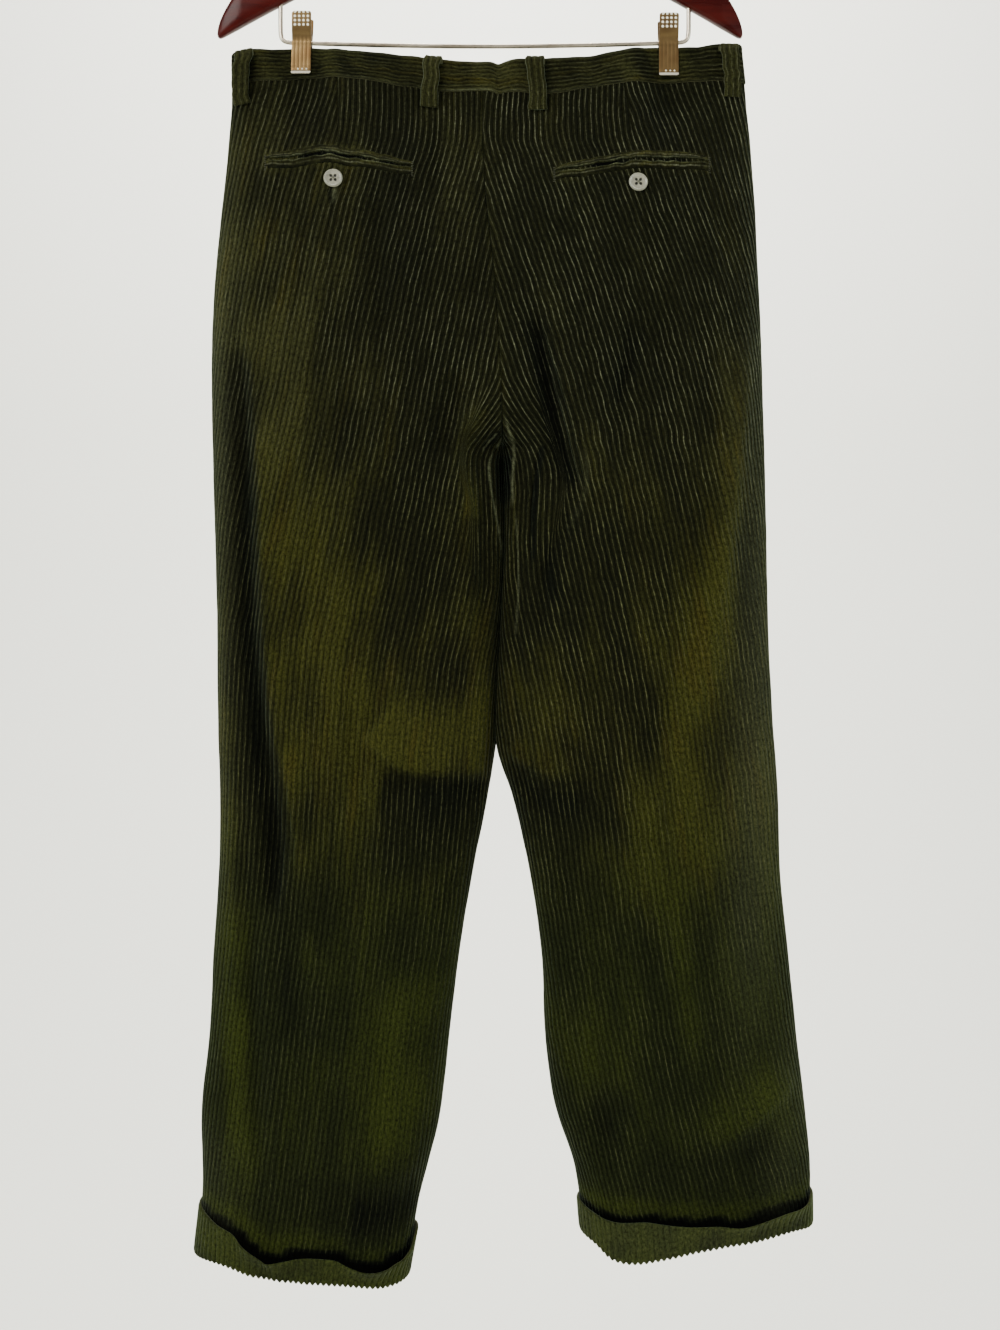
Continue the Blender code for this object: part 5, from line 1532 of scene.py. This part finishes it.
def make_bar(metal):
    """Trouser bar: it comes down out of each arm, bends and runs across."""
    x = np.linspace(*BAR_ENDS_X, 120)
    start, end = ([[at, 0.0, float(wood_line(at)) - WOOD_HALF_HEIGHT * 0.9]] for at in BAR_ENDS_X)
    path = np.concatenate([start, np.stack([x, 0 * x, bar_height(x)], -1), end])
    shape = tube(rounded(path, 0.0012, 42), BAR_RADIUS, 14)
    add_mesh("trouser_bar", shape, metal, "hanger_bar", "wire")


def make_clamps(metal):
    """Each clamp: two pressed plates with upright grooves between round ribs, a turned
    lip and rows of small studs, and the spring coiled round the bar, its legs out along
    the plates."""
    path, even = even_line(PLATE_PATH, 110)
    up, off = path[:, :1], path[:, 1:]
    over = np.linspace(-1.0, 1.0, 73)
    grooved = smooth((0.008 - up) / 0.003) * smooth((up + 0.0245) / 0.0015)
    ribs = np.abs(np.sin((over + 1) / 2 * pi * (GROOVES + 1))) ** 0.7
    rise = PLATE_THICK + PLATE_RIDGE * ribs * grooved
    rise = rise + 0.0002 * (1 - grooved) * (1 - over ** 8)
    studs = 0 * rise
    studding = [(STUDS_UP + row * STUD_STEP_UP, (-0.66, -0.22, 0.22, 0.66), 1.15)
                for row in range(4)] + [(-24.8, (-0.3, 0.14, 0.58), 0.8)]
    for at_up, places, size in studding:
        for at_over in places:
            away = np.hypot((up - at_up * MM) / (size * MM),
                            (over - at_over) / (size * MM / CLAMP_WIDTH * 2))
            studs = np.maximum(studs, np.clip(1 - away ** 2, 0.0, 1.0))
    lip = smooth((-0.0262 - up) / 0.0008)
    rise = rise + 0.0007 * np.sqrt(studs) + 0.0008 * lip
    # Painted highlight: studs and lip are marked to be painted pale cream as glints.
    stud_glint = np.maximum(smooth(studs * 3), 0.8 * lip)
    end = np.minimum(even, even[-1] - even)[:, None]
    half = CLAMP_WIDTH / 2 * np.sqrt(1 - np.clip(1 - end / 0.0016, 0.0, 1.0) ** 2 * 0.3)
    turn = np.linspace(0.0, 2 * pi * 5, 150)
    for name, (x, slip, lean) in CLAMPS.items():
        bar = float(bar_height(x))
        for face, word in ((-1, "back"), (1, "front")):
            sides = [np.stack(np.broadcast_arrays(x + lean * up + places * half, face * out,
                                                  bar + slip + up), -1)
                     for places, out in ((over, off + rise), (over[::-12], off))]
            rings = np.concatenate(sides, axis=1)
            glint_mark = np.concatenate([stud_glint, np.zeros(sides[1].shape[:2])], axis=1)
            add_mesh(f"clamp_plate_{name}_{word}", lofted(rings), metal,
                     f"clamp_{name}_{word}", "clamp", worn=glint_mark, sharp=42)
        coil = np.stack([x + np.linspace(-COIL_HALF, COIL_HALF, len(turn)),
                         COIL_RADIUS * np.cos(turn), bar + COIL_RADIUS * np.sin(turn)], -1)
        start, end_leg = ([[x + side * COIL_HALF, 0.0062, bar + 0.012]] for side in (-1, 1))
        path = rounded(np.concatenate([start, coil, end_leg]), 0.0009, 2)
        add_mesh(f"clamp_coil_{name}", tube(path, 0.00062, 8), metal, f"clamp_{name}_spring",
                 "clamp")


# ---------------------------------------------------------------- room and camera
def link(name, data):
    """A new object for some data, in the scene."""
    thing = bpy.data.objects.new(name, data)
    bpy.context.collection.objects.link(thing)
    return thing


def make_room():
    """Pale floor that sweeps up into a wall far behind, as one curved sheet."""
    n = Finish("pale_wall", (0.72, 0.72, 0.66), 0.95)
    grain = n.noise(n.place(), None, 140.0, 4.0)
    broad = n.noise(n.place(), None, 1.2)
    wall = n.done({"Base Color": n.mix(broad, (0.735, 0.732, 0.672), (0.765, 0.762, 0.702)),
                   "Normal": n.bump(grain, 0.10, 0.001)})
    turn = np.linspace(0.0, pi / 2, 24)
    y = np.concatenate([[-7.0], 1.4 + 1.6 * np.sin(turn), [3.0]])
    z = np.concatenate([[-1.75], -0.15 - 1.6 * np.cos(turn), [5.0]])
    points = np.concatenate([np.stack([0 * y + x, y, z], -1) for x in (-9.0, 9.0)])
    step = np.arange(len(y) - 1)
    faces = np.stack([step, step + len(y), step + len(y) + 1, step + 1], -1)
    mesh = bpy.data.meshes.new("room_sweep")
    mesh.from_pydata(points.tolist(), [], faces.tolist())
    mesh.shade_smooth()
    mesh.materials.append(wall)
    link("room_sweep", mesh)


def make_lamp(name, place, aim, size, watts, color):
    """Square soft light that looks at a point."""
    lamp = bpy.data.lights.new(name, "AREA")
    lamp.shape = "SQUARE"
    lamp.size = size
    lamp.energy = watts
    lamp.color = color
    thing = link(name, lamp)
    thing.location = place
    thing.rotation_euler = (Vector(aim) - Vector(place)).to_track_quat("-Z", "Y").to_euler()


def make_light_and_camera():
    """Soft light from above and the left, a weaker one from the right, greenish ones from
    both sides, a pale room, and a level camera square to the trousers."""
    make_lamp("window_light", (-1.3, -2.1, 0.9), (0.0, 0.0, -0.75), 1.1, 66, (1.0, 0.98, 0.93))
    make_lamp("fill_light", (1.9, -2.4, -0.2), (0.0, 0.0, -0.8), 1.8, 14, (1.0, 0.99, 0.95))
    make_lamp("wall_light", (0.0, 0.9, 1.6), (0.0, 3.0, -0.6), 2.4, 300, (1.0, 0.99, 0.955))
    for side in (-1, 1):
        make_lamp("side_light", (2.3 * side, -0.75, -0.35), (0.0, 0.0, -0.75), 1.5, 40,
                  (0.86, 1.0, 0.95))
    world = bpy.data.worlds.new("pale_room")
    bpy.context.scene.world = world
    world.use_nodes = True
    sky = world.node_tree.nodes["Background"].inputs
    sky["Color"].default_value = (1.0, 0.99, 0.95, 1.0)
    sky["Strength"].default_value = 0.42
    lens = bpy.data.cameras.new("camera")
    lens.sensor_fit = "AUTO"
    lens.sensor_width = 36.0
    lens.lens = 46.14
    camera = link("camera", lens)
    camera.location = (0.011, -1.5, -0.783)
    camera.rotation_euler = (radians(90), 0.0, 0.0)
    bpy.context.scene.camera = camera


# ---------------------------------------------------------------- everything
# Flat sizes, in metres: as long and wide as the piece lies when it is off.
WELT_FLATS = {"upper": (0.128, 0.0100), "lower": (0.128, 0.0105)}


def cut_size(panel):
    """Flat size of a panel: its widest and its length on the cloth, and its area."""
    drops = np.linspace(PANEL_TOP, LEG_END, 200)
    points, arc = arc_table(panel, drops)
    length = np.linalg.norm(np.diff(points[:, FINE // 2], axis=0), axis=1).sum()
    width = arc[:, -1].max()
    area = np.trapz(arc[:, -1], drops) * length / (LEG_END - PANEL_TOP)
    return width, length, min(area, width * length)


def main():
    """Light and room, then each piece in its finish; the panels' flat sizes are worked out but not
    used.
    """
    make_light_and_camera()
    make_room()
    cloth = corduroy("olive_corduroy")
    band_cloth = corduroy("olive_corduroy_band", paler=0.30, lines=0.45, wale_shading=1.1)
    loop_cloth = corduroy("olive_corduroy_loops", paler=0.15, lines=0.8, wale_shading=0.9)
    cuff_cloth = corduroy("olive_corduroy_turn_up", paler=0.45, lines=0.40, wale_shading=0.40)
    sewing = thread("olive_thread")
    button_horn = horn()
    wood = mahogany()
    wire = plated("gold_wire", (0.64, 0.56, 0.45), (0.36, 0.30, 0.23), 0.28)
    clamp = plated("gold_clamps", (0.185, 0.120, 0.052), (0.135, 0.080, 0.033), 0.40)

    for panel in PANELS:
        piece = make_panel(panel, cloth)
        width, length, area = cut_size(panel)
    for word, panels in (("back", (BACK_LEFT, BACK_RIGHT)), ("front", (FRONT_LEFT, FRONT_RIGHT))):
        piece = make_band("waist_" + word, "waistband_" + word, panels, band_cloth)
    for name, loop in LOOPS.items():
        piece = make_loop(name, loop, loop_cloth)
    for side in ("left", "right"):
        for which, flat in WELT_FLATS.items():
            piece = make_welt(side, which, cloth)
        make_cuff(side, cuff_cloth)
    for name, button in BUTTONS.items():
        make_button(name, button, button_horn, sewing)
    make_fly(cloth, sewing)
    make_tacks(sewing)
    make_loop_tacks(sewing)
    make_wood(wood)
    make_hook(wire)
    make_bar(wire)
    make_clamps(clamp)


main()
